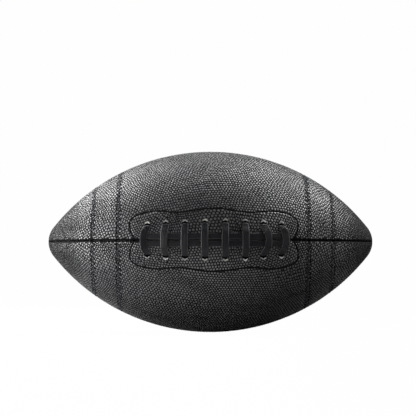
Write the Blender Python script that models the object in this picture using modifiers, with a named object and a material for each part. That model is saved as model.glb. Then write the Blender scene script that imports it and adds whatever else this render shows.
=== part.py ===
"""An american football, its long axis on X, its lacing facing -Y and its centre at the origin.

Four cover panels with turned-in edges meet at four seams. A fabric lining backs each panel and
a rubber bladder fills them. One flat lace closes the slit in the front seam, and a rubber plug
sits in the bladder's valve at the rear.

Places on the ball are given by a station, the distance along the surface from the middle
toward a nose, a turn about the long axis (zero at the front, positive toward the top) and a
height over the outer surface. All sizes are in metres.
"""

import math

import bmesh
import bpy
from mathutils import Matrix, Vector

# The ball's outline: a large arc along the body and a small one round each nose
LENGTH = 0.280
DIAMETER = 0.1555
NOSE_RADIUS = 0.020

# Walls, from the outside in
COVER_THICKNESS = 0.0020
LINING_THICKNESS = 0.0008
BLADDER_WALL = 0.0010
GAP = 0.0003
BLADDER_GAP = 0.0006
LINING_SETBACK = 0.0050
BLADDER_SETBACK = 0.0025

# Seams: each panel's edge rounds over and turns in, and all of it thins toward the noses
SEAM_GAP = 0.0003
SEAM_ROUNDING = 0.0018
HEM_THICKNESS = 0.0012
HEM_DEPTH = 0.0033
SEAM_CORD_RADIUS = 0.00035
SEAM_CORD_STEP = 0.0025
NOSE_OPENING = 0.0016
NOSE_FADE = 0.006

# Stripe bands sewn across the two lacing-side panels
STRIPE_WIDTH = 0.0254
STRIPE_CLEARANCE = 0.012961442
STRIPE_SHIFT = 0.0024
BAND_THICKNESS = 0.0008
STITCH_REACH = 0.00155
STITCH_PITCH = 0.0040
STITCH_RADIUS = 0.00025

# Lacing
LACING_SHIFT = 0.0024
LACE_WIDTH = 0.0056
LACE_THICKNESS = 0.0011
LACE_BEND = 0.00095
HOLE_CLEARANCE = 0.0005
HOLE_ROOM = 0.0012
LONG_RUN_REACH = 0.0030
# Each cross, left to right: its station from the lacing's middle, how far from the seam its lace
# goes in, and how far it bows along the ball where it goes over the long runs
CROSSES = (
    (-0.0556, 0.0118, -0.0026),
    (-0.0399, 0.0128, -0.0012),
    (-0.0238, 0.0132, -0.0004),
    (-0.0075, 0.0137, -0.0003),
    (0.0092, 0.0139, -0.0003),
    (0.0255, 0.0137, 0.0002),
    (0.0409, 0.0128, 0.0031),
    (0.0566, 0.0118, 0.0029),
)
TURN_RADIUS = 0.0038
TAIL_LENGTH = 0.0070
LACE_CLEARANCE = 0.0004
SLIT_REACH = 0.0700

# The two facings that edge the slit, as seen from the front
FACING_THICKNESS = 0.00065
FACING_PROUD = 0.00025
FACING_LENGTH = 0.1384
FACING_MIDDLE = 0.0255
FACING_DIP = 0.0223
FACING_SIDE = 0.0234
FACING_DIP_PLACE = 0.0315
FACING_SIDE_PLACE = 0.0460
FACING_END_HEIGHT = 0.0140
FACING_END_CURL = 0.0072
FACING_SPARE = 0.0050

# The tongue between the lacing and the bladder, which dips under both
TONGUE_LENGTH = 0.148
TONGUE_WIDTH = 0.042
TONGUE_THICKNESS = 0.0007
BLADDER_DIP_TURN = math.radians(20)
BLADDER_FOLD_TURN = math.radians(6)

# Valve
VALVE_TURN = math.radians(135)
NECK_RADIUS = 0.0055
NECK_RECESS = 0.0003
FLANGE_RADIUS = 0.0090
FLANGE_THICKNESS = 0.0013
FLANGE_DROP = 0.0012
VALVE_DEPTH = 0.0100
PLUG_HEAD_RADIUS = 0.0042
PLUG_HEAD_THICKNESS = 0.00145
PLUG_RECESS = 0.00015
PLUG_STEM_RADIUS = 0.0030
PLUG_LENGTH = 0.0088
NEEDLE_RADIUS = 0.0008
CUT_DEPTH = 0.0132
CUT_RISE = 0.0033

# Facets: pieces that lie in each other share their stations, so their faces stay parallel
BODY_SEGMENTS = 14
NOSE_SEGMENTS = 2
QUARTER_SEGMENTS = 8
ROUNDING_SEGMENTS = 3
BAND_SEGMENTS = 2
FACING_SEGMENTS = 8
FACING_CROSS_SEGMENTS = 3
WAVE_SEGMENTS = 4
CURL_SEGMENTS = 5
TONGUE_SEGMENTS = 12
TONGUE_CROSS_SEGMENTS = 6
BLADDER_QUARTER_SEGMENTS = 6
LACE_RUN_SEGMENTS = 12
LACE_PASS_SEGMENTS = 6
LACE_TURN_SEGMENTS = 4
LACE_LEAVE_SEGMENTS = 3
BEND_SEGMENTS = 2
VALVE_SEGMENTS = 20

# A strip steeper than this counts as upright, and its mitred corners widen no more than this
UPRIGHT_SHARE = 0.3
MITRE_SHARE = 0.6

QUARTER = math.pi / 2
NOSE_CENTRE = LENGTH / 2 - NOSE_RADIUS
BODY_RADIUS = (NOSE_CENTRE ** 2 + (DIAMETER / 2) ** 2 - NOSE_RADIUS ** 2) / (DIAMETER - 2 * NOSE_RADIUS)
BODY_LEAN = math.asin(NOSE_CENTRE / (BODY_RADIUS - NOSE_RADIUS))
BODY_REACH = BODY_RADIUS * BODY_LEAN
STRIPE_STATION = FACING_LENGTH / 2 + STRIPE_CLEARANCE
COVER_END = BODY_REACH + NOSE_RADIUS * (math.acos(NOSE_OPENING / NOSE_RADIUS) - BODY_LEAN)

# How far a flat facet's middle lies inside the round surface
FACET_SAG = (DIAMETER / 2 * (1 - math.cos(QUARTER / QUARTER_SEGMENTS / 2))
             + BODY_RADIUS * (1 - math.cos(BODY_LEAN / BODY_SEGMENTS)))

LINING_TOP = -COVER_THICKNESS - GAP
LINING_BOTTOM = LINING_TOP - LINING_THICKNESS
CORD_HEIGHT = -HEM_DEPTH - GAP - SEAM_CORD_RADIUS
CORD_BOTTOM = CORD_HEIGHT - SEAM_CORD_RADIUS

BAND_RECESS = BAND_THICKNESS + GAP
STITCH_HEIGHT = -BAND_RECESS + GAP + STITCH_RADIUS
STITCH_CORNER = STITCH_RADIUS * math.hypot(2 * STITCH_REACH, STITCH_PITCH / 2) / (STITCH_PITCH / 2)
CHANNEL_REACH = STITCH_REACH + STITCH_CORNER + GAP

FACING_BOTTOM = FACING_PROUD - FACING_THICKNESS
FACING_RECESS = FACING_THICKNESS - FACING_PROUD + GAP
LACE_LOW = FACING_PROUD + GAP + LACE_THICKNESS / 2
LACE_HIGH = LACE_LOW + LACE_THICKNESS + LACE_CLEARANCE
LACE_INSIDE = LINING_BOTTOM - FACET_SAG - GAP - LACE_THICKNESS / 2
TONGUE_TOP = LACE_INSIDE - LACE_THICKNESS / 2 - LACE_CLEARANCE
TONGUE_BOTTOM = TONGUE_TOP - TONGUE_THICKNESS
BLADDER_FREE = LINING_BOTTOM - BLADDER_GAP
BLADDER_AT_SEAM = CORD_BOTTOM - BLADDER_GAP
BLADDER_UNDER_LACING = TONGUE_BOTTOM - LACE_CLEARANCE
SHOULDER = SEAM_GAP / 2 + SEAM_ROUNDING

PANELS = {"front_upper": 0, "back_upper": 1, "back_lower": 2, "front_lower": 3}


def outline_at(station):
    """The outer surface at a station: its x and radius, and its normal along x and the radius."""
    side = 1 if station >= 0 else -1
    reach = abs(station)
    if reach <= BODY_REACH:
        lean = reach / BODY_RADIUS
        x = BODY_RADIUS * math.sin(lean)
        radius = BODY_RADIUS * math.cos(lean) - (BODY_RADIUS - DIAMETER / 2)
    else:
        lean = BODY_LEAN + (reach - BODY_REACH) / NOSE_RADIUS
        x = NOSE_CENTRE + NOSE_RADIUS * math.sin(lean)
        radius = NOSE_RADIUS * math.cos(lean)
    return side * x, radius, side * math.sin(lean), math.cos(lean)


def ball_point(station, turn, height):
    """The point at a station, a turn about the long axis and a height over the surface."""
    x, radius, normal_x, normal_radius = outline_at(station)
    reach = radius + height * normal_radius
    return Vector((x + height * normal_x, -reach * math.cos(turn), reach * math.sin(turn)))


def front_point(station, across, height):
    """The point at a station and an arc's length above the front seam."""
    return ball_point(station, across / outline_at(station)[1], height)


def turn_off(station, offset, height):
    """The turn from a seam's plane at which a point lies offset from that plane."""
    _, radius, _, normal_radius = outline_at(station)
    return math.asin(min(1.0, offset / (radius + height * normal_radius)))


def spread(start, end, count):
    """Count + 1 even steps from start to end."""
    return [start + (end - start) * i / count for i in range(count + 1)]


def ball_stations(reach):
    """Stations from nose to nose, finer round the noses, out to a reach on both sides."""
    body = spread(-BODY_REACH, BODY_REACH, BODY_SEGMENTS)
    nose = spread(BODY_REACH, reach, NOSE_SEGMENTS)[1:]
    return [-station for station in reversed(nose)] + body + nose


def station_of(x):
    """The station whose point on the outer surface has this x, on the body's arc."""
    return BODY_RADIUS * math.asin(x / BODY_RADIUS)


def collection(name):
    made = bpy.data.collections.new(name)
    bpy.context.scene.collection.children.link(made)
    return made


def material(name, color, roughness):
    made = bpy.data.materials.new(name)
    made.use_nodes = True
    shader = made.node_tree.nodes["Principled BSDF"]
    shader.inputs["Base Color"].default_value = (*color, 1.0)
    shader.inputs["Roughness"].default_value = roughness
    shader.inputs["Metallic"].default_value = 0.0
    return made


def add_object(name, mesh, look):
    """Put a mesh in the football's collection with its own material."""
    part = bpy.data.objects.new(name, mesh)
    color, roughness = look
    mesh.materials.append(material(f"{name}_material", color, roughness))
    PARTS.objects.link(part)
    return part


def add_cutter(name, mesh):
    cutter = bpy.data.objects.new(name, mesh)
    cutter.hide_render = True
    cutter.display_type = "WIRE"
    CUTTERS.objects.link(cutter)
    return cutter


def lofted_mesh(name, stacks):
    """A closed solid through each stack of loops: quads between loops, and a face on each end."""
    mesh = bpy.data.meshes.new(name)
    shape = bmesh.new()
    for loops in stacks:
        rows = [[shape.verts.new(point) for point in loop] for loop in loops]
        for row, following in zip(rows, rows[1:]):
            for i in range(len(row)):
                j = (i + 1) % len(row)
                shape.faces.new((row[i], row[j], following[j], following[i]))
        ends = [shape.faces.new(rows[0][::-1]), shape.faces.new(rows[-1])]
        for end in ends:
            end.normal_update()
        bmesh.ops.triangulate(shape, faces=ends, ngon_method="EAR_CLIP")
    bmesh.ops.recalc_face_normals(shape, faces=shape.faces)
    shape.to_mesh(mesh)
    shape.free()
    return mesh


def smooth(part, angle=math.radians(35)):
    part.data.shade_smooth()
    part.data.set_sharp_from_angle(angle=angle)


def boolean(part, cutter, operation="DIFFERENCE"):
    modifier = part.modifiers.new(cutter.name, "BOOLEAN")
    modifier.operation = operation
    modifier.solver = "EXACT"
    modifier.object = cutter


def patch_loop(station, turns_at, low, high):
    """A flat closed section at one station, between two heights."""
    top = [ball_point(station, turn, high) for turn in turns_at(station, high)]
    bottom = [ball_point(station, turn, low) for turn in turns_at(station, low)]
    return top + bottom[::-1]


def patch_mesh(name, stations, turns_at, low, high):
    """A slab of the ball's wall between two heights."""
    return lofted_mesh(name, [[patch_loop(station, turns_at, low, high) for station in stations]])


def quarter_turns(quarter, edge):
    """Turns across one quarter, from edge off one seam's plane to edge off the next."""
    def turns_at(station, height):
        first = turn_off(station, edge, height)
        return [quarter * QUARTER + turn for turn in spread(first, QUARTER - first, QUARTER_SEGMENTS)]
    return turns_at


def curve_tube(name, points, radius, resolution, look):
    """A cord along a chain of points, as a curve with filled ends."""
    curve = bpy.data.curves.new(name, "CURVE")
    curve.dimensions = "3D"
    curve.bevel_depth = radius
    curve.bevel_resolution = resolution
    curve.use_fill_caps = True
    spline = curve.splines.new("POLY")
    spline.points.add(len(points) - 1)
    for target, point in zip(spline.points, points):
        target.co = (*point, 1.0)
    return add_object(name, curve, look)


def turned_object(name, profile, look):
    """A ring turned about Z from a closed profile that runs down its outer side."""
    mesh = bpy.data.meshes.new(name)
    count = len(profile)
    points = [(radius, 0.0, height) for radius, height in profile]
    mesh.from_pydata(points, [(i, (i + 1) % count) for i in range(count)], [])
    part = add_object(name, mesh, look)
    screw = part.modifiers.new("Turn", "SCREW")
    screw.steps = VALVE_SEGMENTS
    screw.render_steps = VALVE_SEGMENTS
    screw.use_merge_vertices = True
    screw.merge_threshold = 0.00001
    screw.use_smooth_shade = False
    return part


def panel_loop(quarter, station):
    """A cover panel's section: the outer face, the rounded and turned-in edges, the inner face."""
    fade = min(1.0, outline_at(station)[1] / NOSE_FADE)
    rounding = SEAM_ROUNDING * fade
    hem = HEM_THICKNESS * fade
    near_edge = [(SEAM_GAP / 2, -HEM_DEPTH)]
    for angle in spread(0.0, QUARTER, ROUNDING_SEGMENTS):
        inward = rounding * (1 - math.cos(angle))
        near_edge.append((SEAM_GAP / 2 + inward, -rounding * (1 - math.sin(angle))))
    inner_edge = [(SEAM_GAP / 2 + hem, -HEM_DEPTH), (SEAM_GAP / 2 + hem, -COVER_THICKNESS)]

    def side(edge):
        near = [(turn_off(station, offset, height), height) for offset, height in edge]
        far = [(QUARTER - turn, height) for turn, height in reversed(near)]
        turns = spread(near[-1][0], far[0][0], QUARTER_SEGMENTS)[1:-1]
        return near + [(turn, near[-1][1]) for turn in turns] + far

    section = side(near_edge) + side(inner_edge)[::-1]
    return [ball_point(station, quarter * QUARTER + turn, height) for turn, height in section]


def stripe_line(side, outer):
    """The station of one joint between a stripe band and its panel."""
    reach = STRIPE_STATION + (STRIPE_WIDTH if outer else 0.0)
    return STRIPE_SHIFT + side * reach


def stripe_slab(name, quarter, side, inset, edge, low, high):
    """A slab across a panel from one joint of the stripe to the other."""
    first = stripe_line(side, False) + side * inset
    last = stripe_line(side, True) - side * inset
    stations = spread(first, last, BAND_SEGMENTS)
    return patch_mesh(name, stations, quarter_turns(quarter, edge), low, high)


def zigzag_points(quarter, line):
    """A zigzag stitch's corners, to either side of a joint and across a whole panel."""
    edge = SHOULDER + GAP + STITCH_CORNER
    first = turn_off(line, edge, STITCH_HEIGHT)
    width = outline_at(line)[1] * (QUARTER - 2 * first)
    count = round(width / (STITCH_PITCH / 2))
    points = []
    for i, turn in enumerate(spread(first, QUARTER - first, count)):
        station = line + STITCH_REACH * (1 if i % 2 else -1)
        points.append(ball_point(station, quarter * QUARTER + turn, STITCH_HEIGHT))
    return points


def facing_outline(grow):
    """The upper facing's edge in x and z from the lacing's middle, moved out by grow."""
    end = FACING_LENGTH / 2
    half = []
    for x in spread(0.0, FACING_DIP_PLACE, WAVE_SEGMENTS)[:-1]:
        wave = (1 + math.cos(math.pi * x / FACING_DIP_PLACE)) / 2
        half.append((x, FACING_DIP + (FACING_MIDDLE - FACING_DIP) * wave))
    for x in spread(FACING_DIP_PLACE, FACING_SIDE_PLACE, WAVE_SEGMENTS)[:-1]:
        share = (x - FACING_DIP_PLACE) / (FACING_SIDE_PLACE - FACING_DIP_PLACE)
        wave = (1 - math.cos(math.pi * share)) / 2
        half.append((x, FACING_DIP + (FACING_SIDE - FACING_DIP) * wave))
    for angle in spread(0.0, QUARTER, CURL_SEGMENTS)[:-1]:
        x = FACING_SIDE_PLACE + (end - FACING_SIDE_PLACE) * math.sin(angle)
        half.append((x, FACING_END_HEIGHT + (FACING_SIDE - FACING_END_HEIGHT) * math.cos(angle)))
    for angle in spread(0.0, QUARTER, CURL_SEGMENTS):
        x = end - FACING_END_CURL * (1 - math.cos(angle))
        half.append((x, FACING_END_HEIGHT * (1 - math.sin(angle))))
    points = [(-x, z) for x, z in reversed(half[1:])] + half
    moved = []
    for i, (x, z) in enumerate(points):
        before = points[max(0, i - 1)]
        after = points[min(len(points) - 1, i + 1)]
        along = Vector((after[0] - before[0], after[1] - before[1])).normalized()
        moved.append((x - along.y * grow, z + along.x * grow))
    return moved


def facing_prism(name, side, grow):
    """The facing's outline, drawn from the front and pushed through the cover."""
    front, back = -DIAMETER, -DIAMETER / 4
    outline = facing_outline(grow)
    loops = []
    for y in (front, back):
        loops.append([Vector((LACING_SHIFT + x, y, side * z)) for x, z in outline])
    return add_cutter(name, lofted_mesh(name, [loops]))


def facing_slab(name, side, edge, low, high):
    """A slab beside the slit, wider and longer than the facing."""
    reach = station_of(FACING_LENGTH / 2) + FACING_SPARE
    stations = spread(LACING_SHIFT - reach, LACING_SHIFT + reach, FACING_SEGMENTS)

    def turns_at(station, height):
        first = turn_off(station, edge, height)
        last = turn_off(station, FACING_MIDDLE + FACING_SPARE, height)
        return [side * turn for turn in spread(first, last, FACING_CROSS_SEGMENTS)]
    return patch_mesh(name, stations, turns_at, low, high)


def tunnel_loops(station, across, half_length, half_width, low, high):
    """A straight-sided hole through the wall, square to the surface."""
    corners = ((-1, -1), (1, -1), (1, 1), (-1, 1))
    loops = []
    for height in (high, low):
        loop = []
        for along_sign, across_sign in corners:
            along = station + along_sign * half_length
            loop.append(front_point(along, across + across_sign * half_width, height))
        loops.append(loop)
    return loops


def end_slot_stations():
    """The stations where the long runs go in, each under the middle of an end cross."""
    ends = [LACING_SHIFT + station + bow for station, _, bow in (CROSSES[0], CROSSES[-1])]
    return ends[0], ends[1]


def lacing_cutter():
    """Every lace hole, roomy on its far side, and the short slot at each end of the slit."""
    top = LACE_HIGH
    low = LINING_BOTTOM - FACET_SAG - GAP
    half_length = LACE_WIDTH / 2 + HOLE_CLEARANCE
    half_width = LACE_THICKNESS / 2 + HOLE_CLEARANCE
    hole_width = half_width + HOLE_ROOM / 2
    stacks = []
    for station, reach, _ in CROSSES:
        for side in (1, -1):
            across = side * (reach + HOLE_ROOM / 2)
            stacks.append(tunnel_loops(LACING_SHIFT + station, across, half_length, hole_width, low, top))
    slot_reach = LONG_RUN_REACH + LACE_WIDTH / 2 + HOLE_CLEARANCE
    slot_low = -HEM_DEPTH - FACET_SAG - GAP
    for station in end_slot_stations():
        stacks.append(tunnel_loops(station, 0.0, half_width, slot_reach, slot_low, top))
    return add_cutter("lacing_cutter", lofted_mesh("lacing_cutter", stacks))


def upright_bend(height, toward):
    """A strip turning from flat to upright: (distance in, height) pairs, flat end first.

    It lies flat at the height given and turns up where toward is 1, or down where it is -1.
    """
    pairs = []
    for angle in spread(QUARTER, 0.0, BEND_SEGMENTS):
        step = LACE_BEND * (1 - math.sin(angle))
        pairs.append((LACE_BEND * (1 - math.cos(angle)), height + toward * step))
    return pairs


def ease(share):
    """A share that starts and ends at rest."""
    return share ** 3 * (share * (6 * share - 15) + 10)


def cross_route(station, reach, bow):
    """One cross, from the top hole over both long runs to the bottom hole."""
    flat = reach - LACE_BEND
    crest = LONG_RUN_REACH + LACE_WIDTH / 2 + LACE_THICKNESS
    foot = (crest + reach) / 2
    rise = LACE_HIGH + LACE_CLEARANCE / 2
    bend = [(reach - inward, height) for inward, height in upright_bend(LACE_LOW, -1)]
    half = bend[::-1] + [(foot, LACE_LOW), (crest, LACE_HIGH), (crest / 2, rise)]
    full = half + [(0.0, rise)] + [(-across, height) for across, height in half[::-1]]
    route = []
    for across, height in full:
        bowed = (1 + math.cos(math.pi * min(1.0, abs(across) / flat))) / 2
        route.append((LACING_SHIFT + station + bow * bowed, across, height))
    return route


def inner_bend(reach):
    """A strip turning inside the ball below a hole: (across, height) pairs, from flat to upright."""
    return [(reach - inward, height) for inward, height in upright_bend(LACE_INSIDE, 1)]


def inside_route(first, last):
    """A pass inside the ball, from one cross's bottom hole to the other one's top hole."""
    start, end = LACING_SHIFT + first[0], LACING_SHIFT + last[0]
    low, high = LACE_BEND - first[1], last[1] - LACE_BEND
    route = [(start, -across, height) for across, height in inner_bend(first[1])[::-1]]
    for share in spread(0.0, 1.0, LACE_PASS_SEGMENTS)[1:-1]:
        route.append((start + (end - start) * ease(share), low + (high - low) * share, LACE_INSIDE))
    return route + [(end, across, height) for across, height in inner_bend(last[1])]


def slot_route(station, heading):
    """A long run's end at a slot: the bend over the surface, from upright, and the one inside."""
    outer = [(station - heading * inward, LONG_RUN_REACH, height)
             for inward, height in upright_bend(LACE_LOW, -1)]
    inner = [(station - heading * inward, LONG_RUN_REACH, height)
             for inward, height in upright_bend(LACE_INSIDE, 1)]
    return outer[::-1], inner


def turn_in_route(slot, hole, reach):
    """The pass inside from the right end's upper slot round to the last top hole."""
    begin = slot - LACE_BEND - GAP
    route = []
    for angle in spread(0.0, QUARTER, LACE_TURN_SEGMENTS):
        along = begin - TURN_RADIUS * math.sin(angle)
        across = LONG_RUN_REACH + TURN_RADIUS * (1 - math.cos(angle))
        route.append((along, across, LACE_INSIDE))
    leave = route[-1]
    flat = reach - LACE_BEND
    for share in spread(0.0, 1.0, LACE_LEAVE_SEGMENTS)[1:-1]:
        along = leave[0] + (hole - leave[0]) * ease(share)
        route.append((along, leave[1] + (flat - leave[1]) * share, LACE_INSIDE))
    return route + [(hole, across, height) for across, height in inner_bend(reach)]


def lace_route():
    """The whole lace as (station, across, height), from its left inner tail to its right one."""
    left, right = end_slot_stations()
    outer_left, inner_left = slot_route(left, -1)
    outer_right, inner_right = slot_route(right, 1)
    run = [(along, LONG_RUN_REACH, LACE_LOW)
           for along in spread(left + LACE_BEND, right - LACE_BEND, LACE_RUN_SEGMENTS)[1:-1]]
    upper_run = outer_left + run + outer_right[::-1]

    route = [(left - LACE_BEND - TAIL_LENGTH, LONG_RUN_REACH, LACE_INSIDE)]
    route += [(2 * left - along, across, height) for along, across, height in inner_left]
    route += upper_run
    route += inner_right[::-1]
    route += turn_in_route(right, LACING_SHIFT + CROSSES[-1][0], CROSSES[-1][1])
    for k in reversed(range(len(CROSSES))):
        route += cross_route(*CROSSES[k])
        if k:
            route += inside_route(CROSSES[k], CROSSES[k - 1])
    middle = 2 * LACING_SHIFT
    mirrored = turn_in_route(middle - left, LACING_SHIFT - CROSSES[0][0], CROSSES[0][1])
    route += [(middle - along, -across, height) for along, across, height in reversed(mirrored)]
    tail = [(2 * right - along, across, height) for along, across, height in inner_right[::-1]]
    tail.append((right + LACE_BEND + TAIL_LENGTH, LONG_RUN_REACH, LACE_INSIDE))
    route += [(along, -across, height) for along, across, height in inner_left + upper_run + tail]
    return route


def without_repeats(route):
    kept = [Vector(route[0])]
    for place in route[1:]:
        if (Vector(place) - kept[-1]).length > GAP / 2:
            kept.append(Vector(place))
    return kept


def strip_mesh(name, route, width, thickness):
    """A flat strip along a route over the ball, lying flat except where it goes up or down."""
    places = without_repeats(route)
    tangents = []
    for i, place in enumerate(places):
        before = places[max(0, i - 1)]
        after = places[min(len(places) - 1, i + 1)]
        tangents.append(((place - before).normalized() + (after - place).normalized()).normalized())
    upward = Vector((0.0, 0.0, 1.0))
    side = Vector((0.0, 1.0, 0.0))
    loops = []
    for i, (place, tangent) in enumerate(zip(places, tangents)):
        flat_side = upward.cross(tangent)
        if flat_side.length > UPRIGHT_SHARE:
            side = flat_side if flat_side.dot(side) >= 0 else -flat_side
        side = (side - tangent * side.dot(tangent)).normalized()
        normal = tangent.cross(side)
        bend = 1.0
        if 0 < i < len(places) - 1:
            bend = 1 / max(MITRE_SHARE, tangent.dot((places[i + 1] - place).normalized()))
        loop = []
        for across_sign, up_sign in ((-1, -1), (1, -1), (1, 1), (-1, 1)):
            offset = side * (across_sign * width / 2) + normal * (up_sign * bend * thickness / 2)
            loop.append(front_point(*(place + offset)))
        loops.append(loop)
    return lofted_mesh(name, [loops])


def valve_frame(height):
    """A frame on the valve's axis, a height over the surface, its Z pointing out."""
    outward = ball_point(0.0, VALVE_TURN, 0.0).normalized()
    place = outward * (DIAMETER / 2 + height)
    return Matrix.Translation(place) @ outward.to_track_quat("Z", "Y").to_matrix().to_4x4()


def valve_cutter():
    """The round hole for the valve's neck, through the cover, the lining and the bladder."""
    mesh = bpy.data.meshes.new("valve_hole")
    shape = bmesh.new()
    radius = NECK_RADIUS + GAP
    bmesh.ops.create_cone(shape, cap_ends=True, segments=VALVE_SEGMENTS, radius1=radius,
                          radius2=radius, depth=CUT_DEPTH + CUT_RISE)
    shape.to_mesh(mesh)
    shape.free()
    cutter = add_cutter("valve_hole", mesh)
    cutter.matrix_world = valve_frame((CUT_RISE - CUT_DEPTH) / 2)
    return cutter


def bladder_height(station, turn):
    """The bladder's height: pushed in by each seam's cord, and further under the lacing."""
    off_seam = abs((turn + QUARTER / 2) % QUARTER - QUARTER / 2)
    from_front = abs((turn + math.pi) % (2 * math.pi) - math.pi)
    facet = 2 * BODY_REACH / BODY_SEGMENTS
    under_tongue = abs(station) < TONGUE_LENGTH / 2 + LACING_SHIFT + facet
    if under_tongue and from_front < BLADDER_DIP_TURN:
        return BLADDER_UNDER_LACING
    return BLADDER_AT_SEAM if off_seam < BLADDER_FOLD_TURN / 2 else BLADDER_FREE


def bladder_mesh(name):
    """The bladder's outer face, closed at a point under each nose."""
    steps = [0.0] + spread(BLADDER_FOLD_TURN, QUARTER - BLADDER_FOLD_TURN, BLADDER_QUARTER_SEGMENTS)
    turns = [quarter * QUARTER + step for quarter in range(4) for step in steps]
    stations = ball_stations(COVER_END - BLADDER_SETBACK)
    mesh = bpy.data.meshes.new(name)
    shape = bmesh.new()
    rows = []
    for station in stations:
        row = [ball_point(station, turn, bladder_height(station, turn)) for turn in turns]
        rows.append([shape.verts.new(point) for point in row])
    for row, following in zip(rows, rows[1:]):
        for i in range(len(row)):
            j = (i + 1) % len(row)
            shape.faces.new((row[i], row[j], following[j], following[i]))
    for row, side in ((rows[0], -1), (rows[-1], 1)):
        tip = shape.verts.new((side * (LENGTH / 2 + CORD_BOTTOM), 0.0, 0.0))
        for i in range(len(row)):
            shape.faces.new((row[i], row[(i + 1) % len(row)], tip))
    bmesh.ops.recalc_face_normals(shape, faces=shape.faces)
    shape.to_mesh(mesh)
    shape.free()
    return mesh


def add_cover(lacing, valve_hole):
    """The four panels, with their recesses and holes."""
    for name, quarter in PANELS.items():
        loops = [panel_loop(quarter, station) for station in ball_stations(COVER_END)]
        panel = add_object(f"panel_{name}", lofted_mesh(f"panel_{name}", [loops]), COVER_LOOK)
        if name.startswith("front"):
            for side, side_name in ((-1, "left"), (1, "right")):
                cutter_name = f"stripe_recess_{side_name}_{name}"
                slab = stripe_slab(cutter_name, quarter, side, -CHANNEL_REACH, SHOULDER,
                                   -BAND_RECESS, BAND_RECESS)
                boolean(panel, add_cutter(cutter_name, slab))
            up = 1 if name == "front_upper" else -1
            recess_name = f"facing_recess_{name}"
            slab = facing_slab(recess_name, up, SHOULDER, -FACING_RECESS, FACING_RECESS)
            recess = add_cutter(recess_name, slab)
            boolean(recess, facing_prism(f"facing_recess_outline_{name}", up, GAP), "INTERSECT")
            boolean(panel, recess)
            boolean(panel, lacing)
        if name == "back_upper":
            boolean(panel, valve_hole)
        smooth(panel)


def add_linings(lacing, valve_hole):
    edge = SEAM_GAP / 2 + HEM_THICKNESS + GAP
    reach = COVER_END - LINING_SETBACK
    for name, quarter in PANELS.items():
        mesh = patch_mesh(f"lining_{name}", ball_stations(reach), quarter_turns(quarter, edge),
                          LINING_BOTTOM, LINING_TOP)
        lining = add_object(f"lining_{name}", mesh, LINING_LOOK)
        if name.startswith("front"):
            boolean(lining, lacing)
        if name == "back_upper":
            boolean(lining, valve_hole)
        smooth(lining)


def add_stripes():
    """Two bands on each lacing-side panel, and the zigzag thread along each of their edges."""
    for name, quarter in (("upper", PANELS["front_upper"]), ("lower", PANELS["front_lower"])):
        for side, side_name in ((-1, "left"), (1, "right")):
            band_name = f"stripe_{side_name}_{name}"
            mesh = stripe_slab(band_name, quarter, side, CHANNEL_REACH, SHOULDER + GAP,
                               -BAND_THICKNESS, 0.0)
            smooth(add_object(band_name, mesh, COVER_LOOK))
            for outer, edge_name in ((False, "inner"), (True, "outer")):
                points = zigzag_points(quarter, stripe_line(side, outer))
                curve_tube(f"stripe_thread_{side_name}_{name}_{edge_name}", points,
                           STITCH_RADIUS, 0, THREAD_LOOK)


def add_seam_threads():
    """The chain of stitches that runs along the inside of each sewn seam."""
    stations = ball_stations(COVER_END - LINING_SETBACK)
    for name, quarter in (("top", 1), ("back", 2), ("bottom", 3)):
        points = [ball_point(station, quarter * QUARTER, CORD_HEIGHT) for station in stations]
        curve_tube(f"seam_thread_{name}", points, SEAM_CORD_RADIUS, 1, THREAD_LOOK)
    for side, side_name in ((-1, "left"), (1, "right")):
        slit_end = LACING_SHIFT + side * SLIT_REACH
        beyond = [station for station in stations if side * (station - slit_end) > SEAM_CORD_STEP]
        chain = [slit_end] + (beyond if side > 0 else beyond[::-1])
        points = [ball_point(station, 0.0, CORD_HEIGHT) for station in chain]
        curve_tube(f"seam_thread_front_{side_name}", points, SEAM_CORD_RADIUS, 1, THREAD_LOOK)


def add_lacing(lacing):
    """The facings beside the slit, the lace, and the tongue under it."""
    for side, name in ((1, "upper"), (-1, "lower")):
        slab = facing_slab(f"facing_{name}", side, SHOULDER + GAP, FACING_BOTTOM, FACING_PROUD)
        facing = add_object(f"lace_facing_{name}", slab, COVER_LOOK)
        boolean(facing, facing_prism(f"facing_outline_{name}", side, 0.0), "INTERSECT")
        boolean(facing, lacing)
        smooth(facing)
    lace = add_object("lace", strip_mesh("lace", lace_route(), LACE_WIDTH, LACE_THICKNESS), LACE_LOOK)
    smooth(lace)
    first = LACING_SHIFT - TONGUE_LENGTH / 2
    stations = spread(first, first + TONGUE_LENGTH, TONGUE_SEGMENTS)

    def turns_at(station, height):
        last = turn_off(station, TONGUE_WIDTH / 2, height)
        return spread(-last, last, TONGUE_CROSS_SEGMENTS)
    tongue = patch_mesh("lace_tongue", stations, turns_at, TONGUE_BOTTOM, TONGUE_TOP)
    smooth(add_object("lace_tongue", tongue, LINING_LOOK))


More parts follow.
